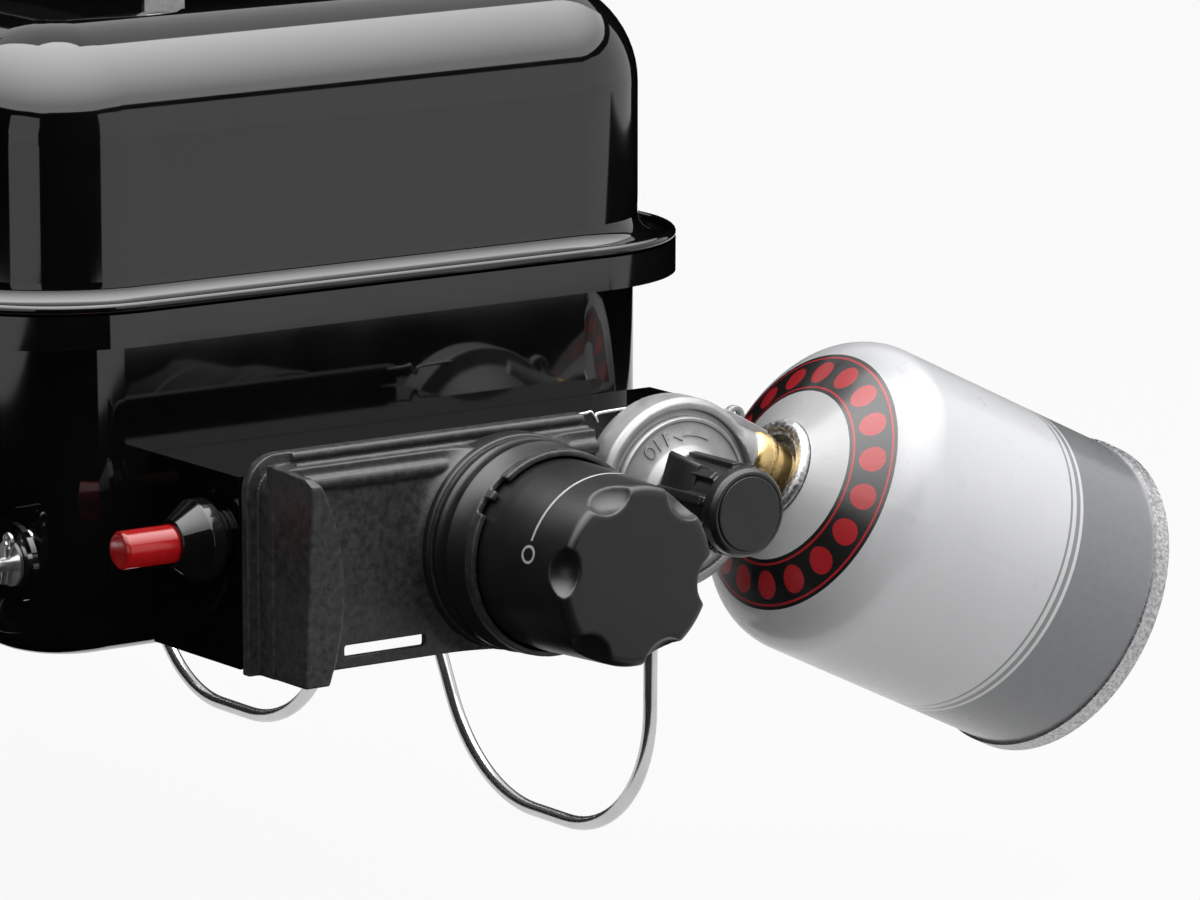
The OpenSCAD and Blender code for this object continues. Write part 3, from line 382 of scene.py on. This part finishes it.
def mixed(tree, value, first, second):
    """A colour between two, by a value; either colour may be a socket."""
    mix = add_node(tree, "ShaderNodeMix", data_type="RGBA")
    for socket, colour in ((mix.inputs[6], first), (mix.inputs[7], second)):
        plug(tree, socket, colour if hasattr(colour, "is_output") else (*colour, 1))
    tree.links.new(value, mix.inputs[0])
    return mix.outputs[2]


def bump(tree, bsdf, height, depth_mm):
    node = add_node(tree, "ShaderNodeBump")
    set_inputs(node, Distance=depth_mm * MM, Strength=1.0)
    tree.links.new(height, node.inputs["Height"])
    tree.links.new(node.outputs["Normal"], bsdf.inputs["Normal"])


def finish(name, dark, light, rough, drift, grain, grain_mm, metallic=0.0, specular=0.5):
    """One layered finish: two colours, two roughnesses and a grain; drift and grain are scales."""
    material, tree, bsdf = new_material(name)
    cloud = noise(tree, drift, 3.0)
    colour = mixed(tree, spread(tree, cloud, 0, 1), dark, light)
    tree.links.new(colour, bsdf.inputs["Base Color"])
    tree.links.new(spread(tree, cloud, *rough), bsdf.inputs["Roughness"])
    set_inputs(bsdf, Metallic=metallic, Specular_IOR_Level=specular)
    bump(tree, bsdf, noise(tree, grain), grain_mm)
    print("finish", name)
    return material


# %% [markdown]
# The body is porcelain enamel fired on steel: black glass, in effect. Its grain is the long,
# shallow ripple of the melt, so the noise is slow and only a few microns deep. The folded
# housing and the parts in the fire have a thinner, duller coat.

# %% Enamel
enamel = finish("enamel_black", (0.004, 0.004, 0.0045), (0.006, 0.006, 0.0065),
                rough=(0.04, 0.06), drift=40, grain=110, grain_mm=0.0015, specular=0.64)
worn_enamel = finish("enamel_black_worn", (0.003, 0.003, 0.0035), (0.005, 0.005, 0.0055),
                     rough=(0.05, 0.08), drift=60, grain=110, grain_mm=0.002, specular=0.34)

# %% [markdown]
# Mouldings take the grain that was spark-eroded into their tool, so their bump is fine and
# even. The bezel is coarse and blotchy, the knob and the grip are smoother, and the igniter is
# polished. A bump is enough here: grains of a few hundredths need no real points.

# %% Plastics, ink and glaze
bezel_plastic = finish("bezel_plastic", (0.025, 0.025, 0.0255), (0.058, 0.058, 0.059),
                       rough=(0.32, 0.44), drift=420, grain=1500, grain_mm=0.1, specular=0.45)
knob_plastic = finish("knob_plastic", (0.011, 0.011, 0.0115), (0.015, 0.015, 0.0155),
                      rough=(0.3, 0.37), drift=60, grain=2600, grain_mm=0.018, specular=0.45)
gloss_plastic = finish("gloss_plastic", (0.006, 0.006, 0.0065), (0.01, 0.01, 0.0105),
                       rough=(0.07, 0.11), drift=120, grain=700, grain_mm=0.004)
grip_plastic = finish("grip_plastic", (0.014, 0.014, 0.0145), (0.024, 0.024, 0.025),
                      rough=(0.38, 0.5), drift=90, grain=2200, grain_mm=0.03)
red_plastic = finish("red_plastic", (0.5, 0.008, 0.01), (0.6, 0.014, 0.014),
                     rough=(0.09, 0.13), drift=150, grain=700, grain_mm=0.004)
white_ink = finish("white_ink", (0.78, 0.78, 0.78), (0.86, 0.86, 0.86),
                   rough=(0.4, 0.5), drift=400, grain=2500, grain_mm=0.004)
ceramic = finish("glazed_ceramic", (0.78, 0.75, 0.68), (0.86, 0.83, 0.76),
                 rough=(0.15, 0.25), drift=150, grain=500, grain_mm=0.01)

# %% [markdown]
# The legs are plated wire and the regulator is a bead-blasted die casting. The nut is turned
# brass, and the can's rolled base and cup are dull tin. A metal shows mainly its reflections,
# so roughness does more here than colour.

# %% Metals
plated_wire = finish("plated_wire", (0.54, 0.54, 0.55), (0.64, 0.64, 0.65),
                     rough=(0.17, 0.22), drift=60, grain=500, grain_mm=0.0004, metallic=0.85)
plain_steel = finish("plain_steel", (0.42, 0.42, 0.43), (0.58, 0.58, 0.59),
                     rough=(0.25, 0.4), drift=200, grain=1200, grain_mm=0.01, metallic=1)
dull_steel = finish("dull_steel", (0.24, 0.24, 0.245), (0.6, 0.6, 0.61),
                    rough=(0.3, 0.55), drift=900, grain=1500, grain_mm=0.06, metallic=1)
burnt_steel = finish("burner_steel", (0.3, 0.28, 0.26), (0.46, 0.43, 0.4),
                     rough=(0.3, 0.45), drift=60, grain=1300, grain_mm=0.01, metallic=1)
die_cast = finish("die_cast", (0.28, 0.28, 0.285), (0.36, 0.36, 0.365),
                  rough=(0.48, 0.58), drift=180, grain=1700, grain_mm=0.04, metallic=0.7)
brass = finish("turned_brass", (0.6, 0.42, 0.17), (0.78, 0.6, 0.3),
               rough=(0.22, 0.34), drift=160, grain=1400, grain_mm=0.012, metallic=1)

# %% [markdown]
# The cartridge is printed tin. The print is laid out round the can's own axis, so the nodes
# first turn a point into a distance along the axis and a distance from it. A black ring with
# a row of red spots lies on the shoulder, and a plain grey band with two lines runs round the
# foot. The white has the faint mottle of ink on metal. A print drawn by distances needs no
# picture and no unwrapping, and it stays in place when the can is unscrewed.

# %% Cartridge axis
unscrew = next(joint for joint in frame["joints"] if joint["name"] == "cartridge_unscrew")
can_axis = Vector(unscrew["axis"]).normalized()
can_side = can_axis.cross(Vector((1, 0, 0))).normalized()
cup_low, cup_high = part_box("cartridge_cup")
can_start = (cup_low + cup_high) / 2
print("can axis", [round(v, 3) for v in can_axis], "from", [round(v, 3) for v in can_start])


def around_axis(tree, start, axis, side):
    """Sockets for the distance along an axis, the distance from it and the angle round it."""
    def vector_math(operation, first, second):
        node = add_node(tree, "ShaderNodeVectorMath", operation=operation)
        tree.links.new(first, node.inputs[0])
        node.inputs[1].default_value = second
        return node
    place = add_node(tree, "ShaderNodeTexCoord").outputs["Object"]
    offset = vector_math("SUBTRACT", place, start).outputs[0]
    along, across, other = [vector_math("DOT_PRODUCT", offset, direction).outputs["Value"]
                            for direction in (axis, side, axis.cross(side))]
    flat = add_node(tree, "ShaderNodeCombineXYZ")
    tree.links.new(across, flat.inputs[0])
    tree.links.new(other, flat.inputs[1])
    length = add_node(tree, "ShaderNodeVectorMath", operation="LENGTH")
    tree.links.new(flat.outputs[0], length.inputs[0])
    return along, length.outputs["Value"], arithmetic(tree, "ARCTAN2", other, across)


def arithmetic(tree, operation, first, second):
    node = add_node(tree, "ShaderNodeMath", operation=operation)
    for socket, value in zip(node.inputs, (first, second)):
        plug(tree, socket, value)
    return node.outputs[0]


def between(tree, value, low, high):
    """1 where a value lies between two numbers, else 0."""
    return arithmetic(tree, "MULTIPLY", arithmetic(tree, "GREATER_THAN", value, low),
                      arithmetic(tree, "LESS_THAN", value, high))


# %% Cartridge print: white can and grey foot
FOOT_BAND = 92 * MM
FOOT_LINES = ((86 * MM, 87 * MM), (88.8 * MM, 90.6 * MM))
WHITE_TINTS = ((0.79, 0.795, 0.81), (0.81, 0.815, 0.83))
GREY_TINTS = ((0.22, 0.225, 0.235), (0.27, 0.275, 0.285))
LINE_TINT = (0.3, 0.305, 0.315)

can_print, tree, bsdf = new_material("cartridge_print")
along, away, angle = around_axis(tree, can_start, can_axis, can_side)
tint = mixed(tree, spread(tree, noise(tree, 60, 3.0), 0, 1), *WHITE_TINTS)
grey = mixed(tree, noise(tree, 300), *GREY_TINTS)
tint = mixed(tree, arithmetic(tree, "GREATER_THAN", along, FOOT_BAND), tint, grey)
for low, high in FOOT_LINES:
    tint = mixed(tree, between(tree, along, low, high), tint, LINE_TINT)
print("foot band from", FOOT_BAND, "lines", len(FOOT_LINES))

# %% Cartridge print: ring with spots
SHOULDER_END = 24 * MM
RING = (30 * MM, 45.5 * MM)
RING_LINES = ((31.2 * MM, 31.9 * MM), (43.7 * MM, 44.4 * MM))
SPOTS = 18
SPOT_MIDDLE = 37.8 * MM
SPOT_RADIUS = 4.4 * MM
BLACK_TINT = (0.012, 0.012, 0.012)
RED_TINT = (0.6, 0.02, 0.03)

on_shoulder = arithmetic(tree, "LESS_THAN", along, SHOULDER_END)
ring = arithmetic(tree, "MULTIPLY", between(tree, away, *RING), on_shoulder)
tint = mixed(tree, ring, tint, BLACK_TINT)
step = 2 * math.pi / SPOTS
from_spot = arithmetic(tree, "SUBTRACT", arithmetic(tree, "FLOORED_MODULO", angle, step), step / 2)
spot_across = arithmetic(tree, "MULTIPLY", from_spot, SPOT_MIDDLE)
spot_out = arithmetic(tree, "SUBTRACT", away, SPOT_MIDDLE)
spot_far = arithmetic(tree, "SQRT", arithmetic(
    tree, "ADD", arithmetic(tree, "POWER", spot_across, 2.0),
    arithmetic(tree, "POWER", spot_out, 2.0)), 0.0)
red = arithmetic(tree, "LESS_THAN", spot_far, SPOT_RADIUS)
for low, high in RING_LINES:
    red = arithmetic(tree, "MAXIMUM", red, between(tree, away, low, high))
tint = mixed(tree, arithmetic(tree, "MULTIPLY", red, on_shoulder), tint, RED_TINT)
print("ring", RING, "with", SPOTS, "spots")

# %% Cartridge print: varnish
PRINT_ROUGH = (0.27, 0.31)
VARNISH, VARNISH_ROUGH = 0.25, 0.1
MOTTLE_MM = 0.002

tree.links.new(tint, bsdf.inputs["Base Color"])
tree.links.new(spread(tree, noise(tree, 90), *PRINT_ROUGH), bsdf.inputs["Roughness"])
set_inputs(bsdf, Coat_Weight=VARNISH, Coat_Roughness=VARNISH_ROUGH)
bump(tree, bsdf, noise(tree, 220), MOTTLE_MM)
print("varnish", VARNISH)

# %% [markdown]
# Solids that already have the right shape keep it and only take a finish. The list goes by
# finish, so that one look at it shows which pieces are made of the same stuff.

# %% Give each solid its finish
WEAR = {
    enamel: ["lid_shell", "bowl", "leg_brackets"],
    worn_enamel: ["control_housing", "cooking_grate", "heat_shield"],
    plated_wire: ["right_leg", "left_leg", "right_leg_washers", "left_leg_washers",
                  "right_leg_cotters", "left_leg_cotters"],
    plain_steel: ["handle_brackets", "handle_bolts", "housing_screws", "bezel_screws",
                  "valve_screws", "valve_stem", "regulator_screws", "regulator_spindle",
                  "cartridge_valve", "burner_bracket", "burner_bracket_screws"],
    dull_steel: ["cartridge_base", "cartridge_cup"],
    burnt_steel: ["burner_tube"],
    die_cast: ["regulator_body", "regulator_cover", "outlet_pipe"],
    brass: ["gas_valve", "gas_jet", "inlet_nut"],
    can_print: ["cartridge_can"],
    bezel_plastic: ["control_bezel"],
    knob_plastic: ["control_knob", "regulator_knob", "regulator_knob_cap"],
    gloss_plastic: ["igniter_body", "igniter_nut", "igniter_lead"],
    grip_plastic: ["handle_grip"],
    red_plastic: ["igniter_button"],
    ceramic: ["igniter_electrode"],
}
for material, names in WEAR.items():
    for name in names:
        nodes[name].data.materials.clear()
        nodes[name].data.materials.append(material)
print("finished solids:", sum(len(names) for names in WEAR.values()), "of", len(nodes))

# %% [markdown]
# A moulding never has a knife edge. A copy of the solid is wrapped in a fine even mesh and
# then smoothed, which rounds every edge by about the size of one cell, inside and outside.
# A bevel would need clean edges, and a solid's loose triangles don't have them.

# %% Softening
SAME_PLACE = 0.001 * MM


def select_only(piece):
    bpy.ops.object.select_all(action="DESELECT")
    piece.select_set(True)
    bpy.context.view_layer.objects.active = piece


def add_modifier(piece, name, kind, **settings):
    modifier = piece.modifiers.new(name, kind)
    for key, value in settings.items():
        setattr(modifier, key, value)
    bpy.ops.object.modifier_apply(modifier=name)


def softened(node, name, cell_mm, passes, material, keep=1.0):
    """A copy of a solid with rounded edges, which takes its place; keep is a share of faces."""
    source = nodes[node]
    piece = bpy.data.objects.new(name, source.data.copy())
    bpy.context.scene.collection.objects.link(piece)
    select_only(piece)
    bpy.ops.object.mode_set(mode="EDIT")
    bpy.ops.mesh.select_all(action="SELECT")
    bpy.ops.mesh.remove_doubles(threshold=SAME_PLACE)
    bpy.ops.object.mode_set(mode="OBJECT")
    add_modifier(piece, "wrap", "REMESH", mode="VOXEL", voxel_size=cell_mm * MM)
    add_modifier(piece, "soft", "SMOOTH", factor=0.5, iterations=passes)
    if keep < 1:
        add_modifier(piece, "thin", "DECIMATE", ratio=keep)
    bpy.ops.object.shade_smooth()
    piece.data.materials.clear()
    piece.data.materials.append(material)
    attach(piece, source["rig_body"])
    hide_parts(node)
    print(name, "faces", len(piece.data.polygons))
    return piece


# %% Softened mouldings
softened("control_bezel", "bezel_moulding", 0.45, 3, bezel_plastic, keep=0.42)
knob = softened("control_knob", "knob_moulding", 0.5, 6, knob_plastic, keep=0.8)
shut_off = softened("regulator_knob", "shut_off_moulding", 0.4, 3, knob_plastic)
cap = softened("regulator_knob_cap", "shut_off_cap_moulding", 0.3, 2, knob_plastic)
softened("igniter_nut", "igniter_nut_moulding", 0.3, 4, gloss_plastic)
softened("igniter_button", "button_moulding", 0.3, 4, red_plastic)

# %% [markdown]
# The shut-off knob looks a little stouter in the picture than its solid, which keeps clear
# of the control knob with room to spare. Its mouldings are swelled round their own axis, so
# they still turn true and keep their length.

# %% Stouter shut-off knob
SHUT_OFF_SWELL = 1.08

hub_low, hub_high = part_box("regulator_knob")
for piece in (shut_off, cap):
    select_only(piece)
    bpy.ops.object.mode_set(mode="EDIT")
    bpy.ops.mesh.select_all(action="SELECT")
    bpy.ops.transform.resize(value=(1, SHUT_OFF_SWELL, SHUT_OFF_SWELL),
                             center_override=(hub_low + hub_high) / 2)
    bpy.ops.object.mode_set(mode="OBJECT")
print("shut-off knob swelled by", SHUT_OFF_SWELL)

# %% [markdown]
# The knob's scale is printed on its skirt: a thin white arc and a nought. Each is drawn flat,
# then shrink-wrapped to the skirt a few hundredths of a millimetre proud, as ink would be.
# Drawing them in the knob's paint would need a picture, and real ink has an edge.

# %% Helpers for marks
INK = 0.05 * MM
ALONG_X, UPWARDS = Vector((1, 0, 0)), Vector((0, 0, 1))


def round_axis(node, angle, radius, x):
    """The point at an angle (0 is +Y, 90 is up) round the X axis through a node's middle."""
    low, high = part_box(node)
    angle = math.radians(angle)
    return Vector((x, (low.y + high.y) / 2 + radius * math.cos(angle),
                   (low.z + high.z) / 2 + radius * math.sin(angle)))


def stand(piece, place, turn, narrow=1):
    """Moves a flat piece to a place, turned by three rows, and applies that to its mesh."""
    piece.matrix_world = Matrix.Translation(place) @ Matrix(turn).to_4x4() \
        @ Matrix.Diagonal((narrow, 1, 1, 1))
    bpy.ops.object.transform_apply(location=True, rotation=True, scale=True)


def lay_on(piece, surface, lift, straight_back=False):
    """Shrink-wraps a piece to a surface, or pushes it back along X, and gives it thickness."""
    pushed = dict(wrap_method="PROJECT", use_project_x=True, use_positive_direction=False,
                  use_negative_direction=True) if straight_back else {}
    add_modifier(piece, "wrap", "SHRINKWRAP", target=surface, offset=lift, **pushed)
    add_modifier(piece, "skin", "SOLIDIFY", thickness=2 * lift)


def put_on(piece, body, material):
    piece.data.materials.clear()
    piece.data.materials.append(material)
    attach(piece, body)
    print(piece.name, len(piece.data.polygons), "faces on", body)


# %% Arc on the knob
MARK_BEHIND_FACE = 19.8 * MM
MARK_WIDTH = 0.9 * MM
ARC_FROM, ARC_TO = 76, 157
ARC_STEPS = 60

knob_low, knob_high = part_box("control_knob")
knob_radius = (knob_high.z - knob_low.z) / 2
mark_x = knob_high.x - MARK_BEHIND_FACE
arc_start = round_axis("control_knob", ARC_FROM, knob_radius, mark_x - MARK_WIDTH / 2)
arc = drawn_line("knob_arc", [arc_start, arc_start + ALONG_X * MARK_WIDTH])
spin_all(ARC_STEPS, math.radians(ARC_FROM - ARC_TO), round_axis("control_knob", 0, 0, mark_x),
         ALONG_X)
bpy.ops.object.mode_set(mode="OBJECT")
lay_on(arc, knob, INK)
put_on(arc, "flame_control", white_ink)

# %% Nought on the knob
NOUGHT_AT = 165.5
NOUGHT_HALF = (3.3 * MM, 3.1 * MM)
NOUGHT_POINTS = 64

bpy.ops.object.select_all(action="DESELECT")
bpy.ops.mesh.primitive_circle_add(vertices=NOUGHT_POINTS, radius=1)
nought = bpy.context.object
nought.name = "knob_nought"
bpy.ops.object.mode_set(mode="EDIT")
bpy.ops.mesh.select_all(action="SELECT")
bpy.ops.transform.resize(value=(*NOUGHT_HALF, 1))
bpy.ops.mesh.extrude_region()
bpy.ops.transform.resize(value=(*(1 - MARK_WIDTH / half for half in NOUGHT_HALF), 1))
bpy.ops.object.mode_set(mode="OBJECT")
lean = math.radians(NOUGHT_AT)
stand(nought, round_axis("control_knob", NOUGHT_AT, knob_radius, mark_x),
      ((1, 0, 0), (0, -math.sin(lean), math.cos(lean)), (0, math.cos(lean), math.sin(lean))))
lay_on(nought, knob, INK)
put_on(nought, "flame_control", white_ink)

# %% [markdown]
# The regulator's cover is a shallow cone between a raised ring and the hub. It is turned
# work, so its section is drawn point by point, outwards from the axis, and spun round.
# Softening the solid would blur the ring, and the letters need a clean cone to stand on.

# %% Cover of the regulator
SPIN_STEPS = 128
SPIN_CREASE = math.radians(50)
# (along the axis, out from it) in millimetres
COVER_SECTION = [(3.2, 3.8), (12.0, 3.8), (12.0, 14.3), (11.5, 15.0), (8.6, 16.4), (7.9, 17.2),
                 (6.2, 23.8), (6.2, 24.4), (6.8, 24.9), (6.8, 25.7), (6.2, 26.2), (4.6, 26.5),
                 (4.4, 27.0), (4.4, 28.3), (0.2, 28.3), (0.2, 22.0), (3.2, 22.0), (3.2, 3.8)]


def spun(name, section, centre, axis, side, steps=SPIN_STEPS):
    """A section of (along, out) points in millimetres, spun round an axis."""
    piece = drawn_line(name, [centre + (axis * along + side * out) * MM for along, out in section])
    spin_all(steps, 2 * math.pi, centre, axis)
    bpy.ops.mesh.select_all(action="SELECT")
    bpy.ops.mesh.remove_doubles(threshold=SAME_PLACE)
    bpy.ops.mesh.normals_make_consistent(inside=False)
    bpy.ops.object.mode_set(mode="OBJECT")
    bpy.ops.object.shade_smooth_by_angle(angle=SPIN_CREASE)
    return piece


cover_low, cover_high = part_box("regulator_cover")
cover = spun("cover_casting", COVER_SECTION, round_axis("regulator_cover", 0, 0, cover_low.x),
             ALONG_X, UPWARDS)
put_on(cover, "grill_base", die_cast)
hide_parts("regulator_cover")

# %% [markdown]
# The cover has lettering cast into it: OFF, ON and a turning arrow.
# Letters are typed as text, made into meshes, turned to stand round the axis, and laid on the
# cover like the marks above, only thicker. A letter at a time follows the curve of the ring
# without any bending.

# %% Cast letters
LETTER_RADIUS = 20.6 * MM
LETTER_SIZE = 6.6 * MM
LETTER_NARROW = 0.76
# (letter, angle round the axis)
LETTERS = [("O", 130), ("F", 118.5), ("F", 108.5), ("O", 190), ("N", 178)]

letters = []
for letter, angle in LETTERS:
    bpy.ops.object.select_all(action="DESELECT")
    bpy.ops.object.text_add()
    text = bpy.context.object
    text.data.body = letter
    text.data.size = LETTER_SIZE
    text.data.align_x = "CENTER"
    text.data.align_y = "CENTER"
    bpy.ops.object.convert(target="MESH")
    text = bpy.context.object
    lean = math.radians(angle - 90)
    stand(text, round_axis("regulator_cover", angle, LETTER_RADIUS, cover_high.x),
          ((0, 0, 1), (math.cos(lean), -math.sin(lean), 0), (math.sin(lean), math.cos(lean), 0)),
          LETTER_NARROW)
    letters.append(text)
print("letters", len(letters))

# %% Shaft of the arrow
ARROW_FROM, ARROW_TO = 60, 92
ARROW_WIDTH = 0.8 * MM
ARROW_STEPS = 16

shaft = [round_axis("regulator_cover", ARROW_FROM, LETTER_RADIUS + out, cover_high.x)
         for out in (-ARROW_WIDTH / 2, ARROW_WIDTH / 2)]
arrow = drawn_line("regulator_lettering", shaft)
spin_all(ARROW_STEPS, math.radians(ARROW_FROM - ARROW_TO),
         round_axis("regulator_cover", 0, 0, cover_high.x), ALONG_X)
bpy.ops.object.mode_set(mode="OBJECT")
print("arrow from", ARROW_FROM, "to", ARROW_TO)

# %% Head of the arrow, and all joined
ARROW_HEAD = 2.2 * MM
HEAD_AT = ARROW_TO + 3
CAST = 0.5 * MM

bpy.ops.object.select_all(action="DESELECT")
bpy.ops.mesh.primitive_circle_add(vertices=3, radius=ARROW_HEAD, fill_type="NGON")
head = bpy.context.object
lean = math.radians(ARROW_TO + 90)
stand(head, round_axis("regulator_cover", HEAD_AT, LETTER_RADIUS, cover_high.x),
      ((0, 0, 1), (math.sin(lean), math.cos(lean), 0), (-math.cos(lean), math.sin(lean), 0)))
for piece in [arrow, head] + letters:
    piece.select_set(True)
bpy.context.view_layer.objects.active = arrow
bpy.ops.object.join()
lay_on(arrow, cover, CAST, straight_back=True)
put_on(arrow, "grill_base", die_cast)

# %% [markdown]
# The shut-off knob has one broad wing for the thumb. Its outline is drawn round the knob's
# axis, filled, pulled out along the axis, tapered and bevelled. A box would be quicker to
# make, but the wing's back follows the hub and its two sides lean.

# %% Plates
EDGE = 0.6 * MM
EDGE_STEPS = 3
PLATE_CREASE = math.radians(40)


def filled_outline(name, corners, pull):
    """A flat outline, filled and pulled out into a plate, left in edit mode."""
    piece = drawn_line(name, corners)
    bpy.ops.mesh.select_all(action="SELECT")
    bpy.ops.mesh.edge_face_add()
    bpy.ops.mesh.extrude_region_move(TRANSFORM_OT_translate={"value": pull})
    return piece


def bevel_plate():
    """Ends the editing of a plate, with round edges all over."""
    bpy.ops.mesh.select_all(action="SELECT")
    bpy.ops.mesh.normals_make_consistent(inside=False)
    bpy.ops.mesh.bevel(offset=EDGE, segments=EDGE_STEPS, affect="EDGES")
    bpy.ops.object.mode_set(mode="OBJECT")
    bpy.ops.object.shade_smooth_by_angle(angle=PLATE_CREASE)


# %% Wing of the shut-off knob
# (out from the axis in millimetres, angle round it)
WING = [(12.0, 100), (14.6, 104), (20.0, 119), (19.6, 123), (15.4, 158), (12.0, 168)]
WING_BACK, WING_LONG, WING_TAPER = 1.0 * MM, 15 * MM, 0.86

wing_x = hub_low.x + WING_BACK
corners = [round_axis("regulator_knob", angle, radius * MM, wing_x) for radius, angle in WING]
wing = filled_outline("shut_off_wing", corners, ALONG_X * WING_LONG)
bpy.ops.transform.resize(value=(1, WING_TAPER, WING_TAPER),
                         center_override=round_axis("regulator_knob", 0, 0, wing_x))
bevel_plate()
put_on(wing, "shut_off", knob_plastic)

# %% [markdown]
# The collar round the knob is stepped, like turned rings. Its section is drawn point by point
# and spun round the knob's axis; the rings sit in the collar's own skin. The softened bezel
# could carry them, but its cells are coarser than these steps.

# %% Collar rings
BEZEL_DEPTH = 12 * MM
# (in front of the panel, out from the knob's axis) in millimetres
RING_SECTION = [(-0.5, 34.0), (-0.5, 35.7), (5.6, 35.7), (6.2, 35.5), (6.5, 35.1), (6.6, 34.7),
                (9.0, 34.75), (9.4, 35.05), (10.2, 35.05), (10.6, 34.65), (15.0, 34.5),
                (15.4, 34.75), (16.2, 34.75), (16.6, 34.4), (25.0, 34.1), (25.4, 33.9),
                (25.4, 33.4)]

bezel_low, bezel_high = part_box("control_bezel")
panel_x = bezel_low.x + BEZEL_DEPTH
rings = spun("collar_rings", RING_SECTION, round_axis("control_knob", 0, 0, panel_x),
             ALONG_X, UPWARDS)
put_on(rings, "grill_base", knob_plastic)

# %% [markdown]
# The regulator's inlet ends in a plump brass nut. A softened copy of the casting is cut short
# with a plain cylinder, and the nut is spun in the gap. Cutting first means that brass and
# casting meet at a clean edge and don't share a skin.

# %% Brass nut
# (along the can's axis from its cup, out from the axis) in millimetres
NUT_SECTION = [(-16.5, 6.5), (-16.5, 8.6), (-15.6, 9.6), (-13.5, 10.2), (-9.5, 10.2),
               (-7.2, 9.7), (-6.2, 8.6), (-6.2, 6.5)]
NUT_STEPS = 64
CUT_RADIUS, CUT_LONG, CUT_AT = 15 * MM, 10 * MM, -11.4 * MM

casting = softened("regulator_body", "regulator_casting", 0.5, 3, die_cast, keep=0.7)
nut_collar = spun("inlet_nut_collar", NUT_SECTION, can_start, can_axis, can_side, NUT_STEPS)
bpy.ops.object.select_all(action="DESELECT")
bpy.ops.mesh.primitive_cylinder_add(vertices=NUT_STEPS, radius=CUT_RADIUS, depth=CUT_LONG)
cutter = bpy.context.object
cutter.matrix_world = Matrix.Translation(can_start + can_axis * CUT_AT) \
    @ can_axis.to_track_quat("Z", "Y").to_matrix().to_4x4()
bpy.context.view_layer.objects.active = casting
add_modifier(casting, "trim", "BOOLEAN", operation="DIFFERENCE", object=cutter)
bpy.data.objects.remove(cutter)
put_on(nut_collar, "grill_base", brass)
print("casting", len(casting.data.polygons), "faces")

# %% [markdown]
# A cast web joins the regulator's disc to its arm. It is a flat plate with five corners, so
# it is made as the wing was: drawn, filled, pulled out and bevelled.

# %% Web of the regulator
# (y, z) from the disc's axis in millimetres
WEB = [(17, 27), (23, 25.4), (39, 16.5), (36.5, 3), (20, 3)]
WEB_BEHIND, WEB_THICK = 7 * MM, 3 * MM

body_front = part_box("regulator_body")[1].x
disc = round_axis("regulator_cover", 0, 0, body_front - WEB_BEHIND)
web = filled_outline("regulator_web", [disc + Vector((0, y, z)) * MM for y, z in WEB],
                     ALONG_X * -WEB_THICK)
bevel_plate()
put_on(web, "grill_base", die_cast)

# %% [markdown]
# A bent spring wire runs from the housing's edge behind the bezel to the regulator.
# A wire is easiest as a curve with a round section, turned into a mesh when its path is right.
# Its loop in the middle comes from five points, because a smooth curve rounds the corners.

# %% Spring wire
WIRE_RADIUS = 0.55 * MM
WIRE_ROUND = 3
# (x, y, z) in millimetres from the bezel's upper rear corner
WIRE_PATH = [(0.2, -4, -1.2), (0.2, 4.5, -1.2), (0.9, 6.0, -0.4), (1.6, 7.0, -2.6),
             (1.2, 8.6, -4.6), (0.2, 8.0, -2.4), (0.2, 9.5, -1.2), (0.2, 30, -1.2)]

corner = Vector((bezel_low.x, bezel_high.y, bezel_high.z))
bpy.ops.object.select_all(action="DESELECT")
bpy.ops.curve.primitive_nurbs_path_add()
wire = bpy.context.object
wire.name = "spring_wire"
spline = wire.data.splines[0]
spline.points.add(len(WIRE_PATH) - len(spline.points))
for point, place in zip(spline.points, WIRE_PATH):
    point.co = (*(corner + Vector(place) * MM), 1)
spline.order_u = 3
wire.data.bevel_depth = WIRE_RADIUS
wire.data.bevel_resolution = WIRE_ROUND
wire.data.use_fill_caps = True
bpy.ops.object.convert(target="MESH")
wire = bpy.context.object
bpy.ops.object.shade_smooth()
put_on(wire, "grill_base", plain_steel)
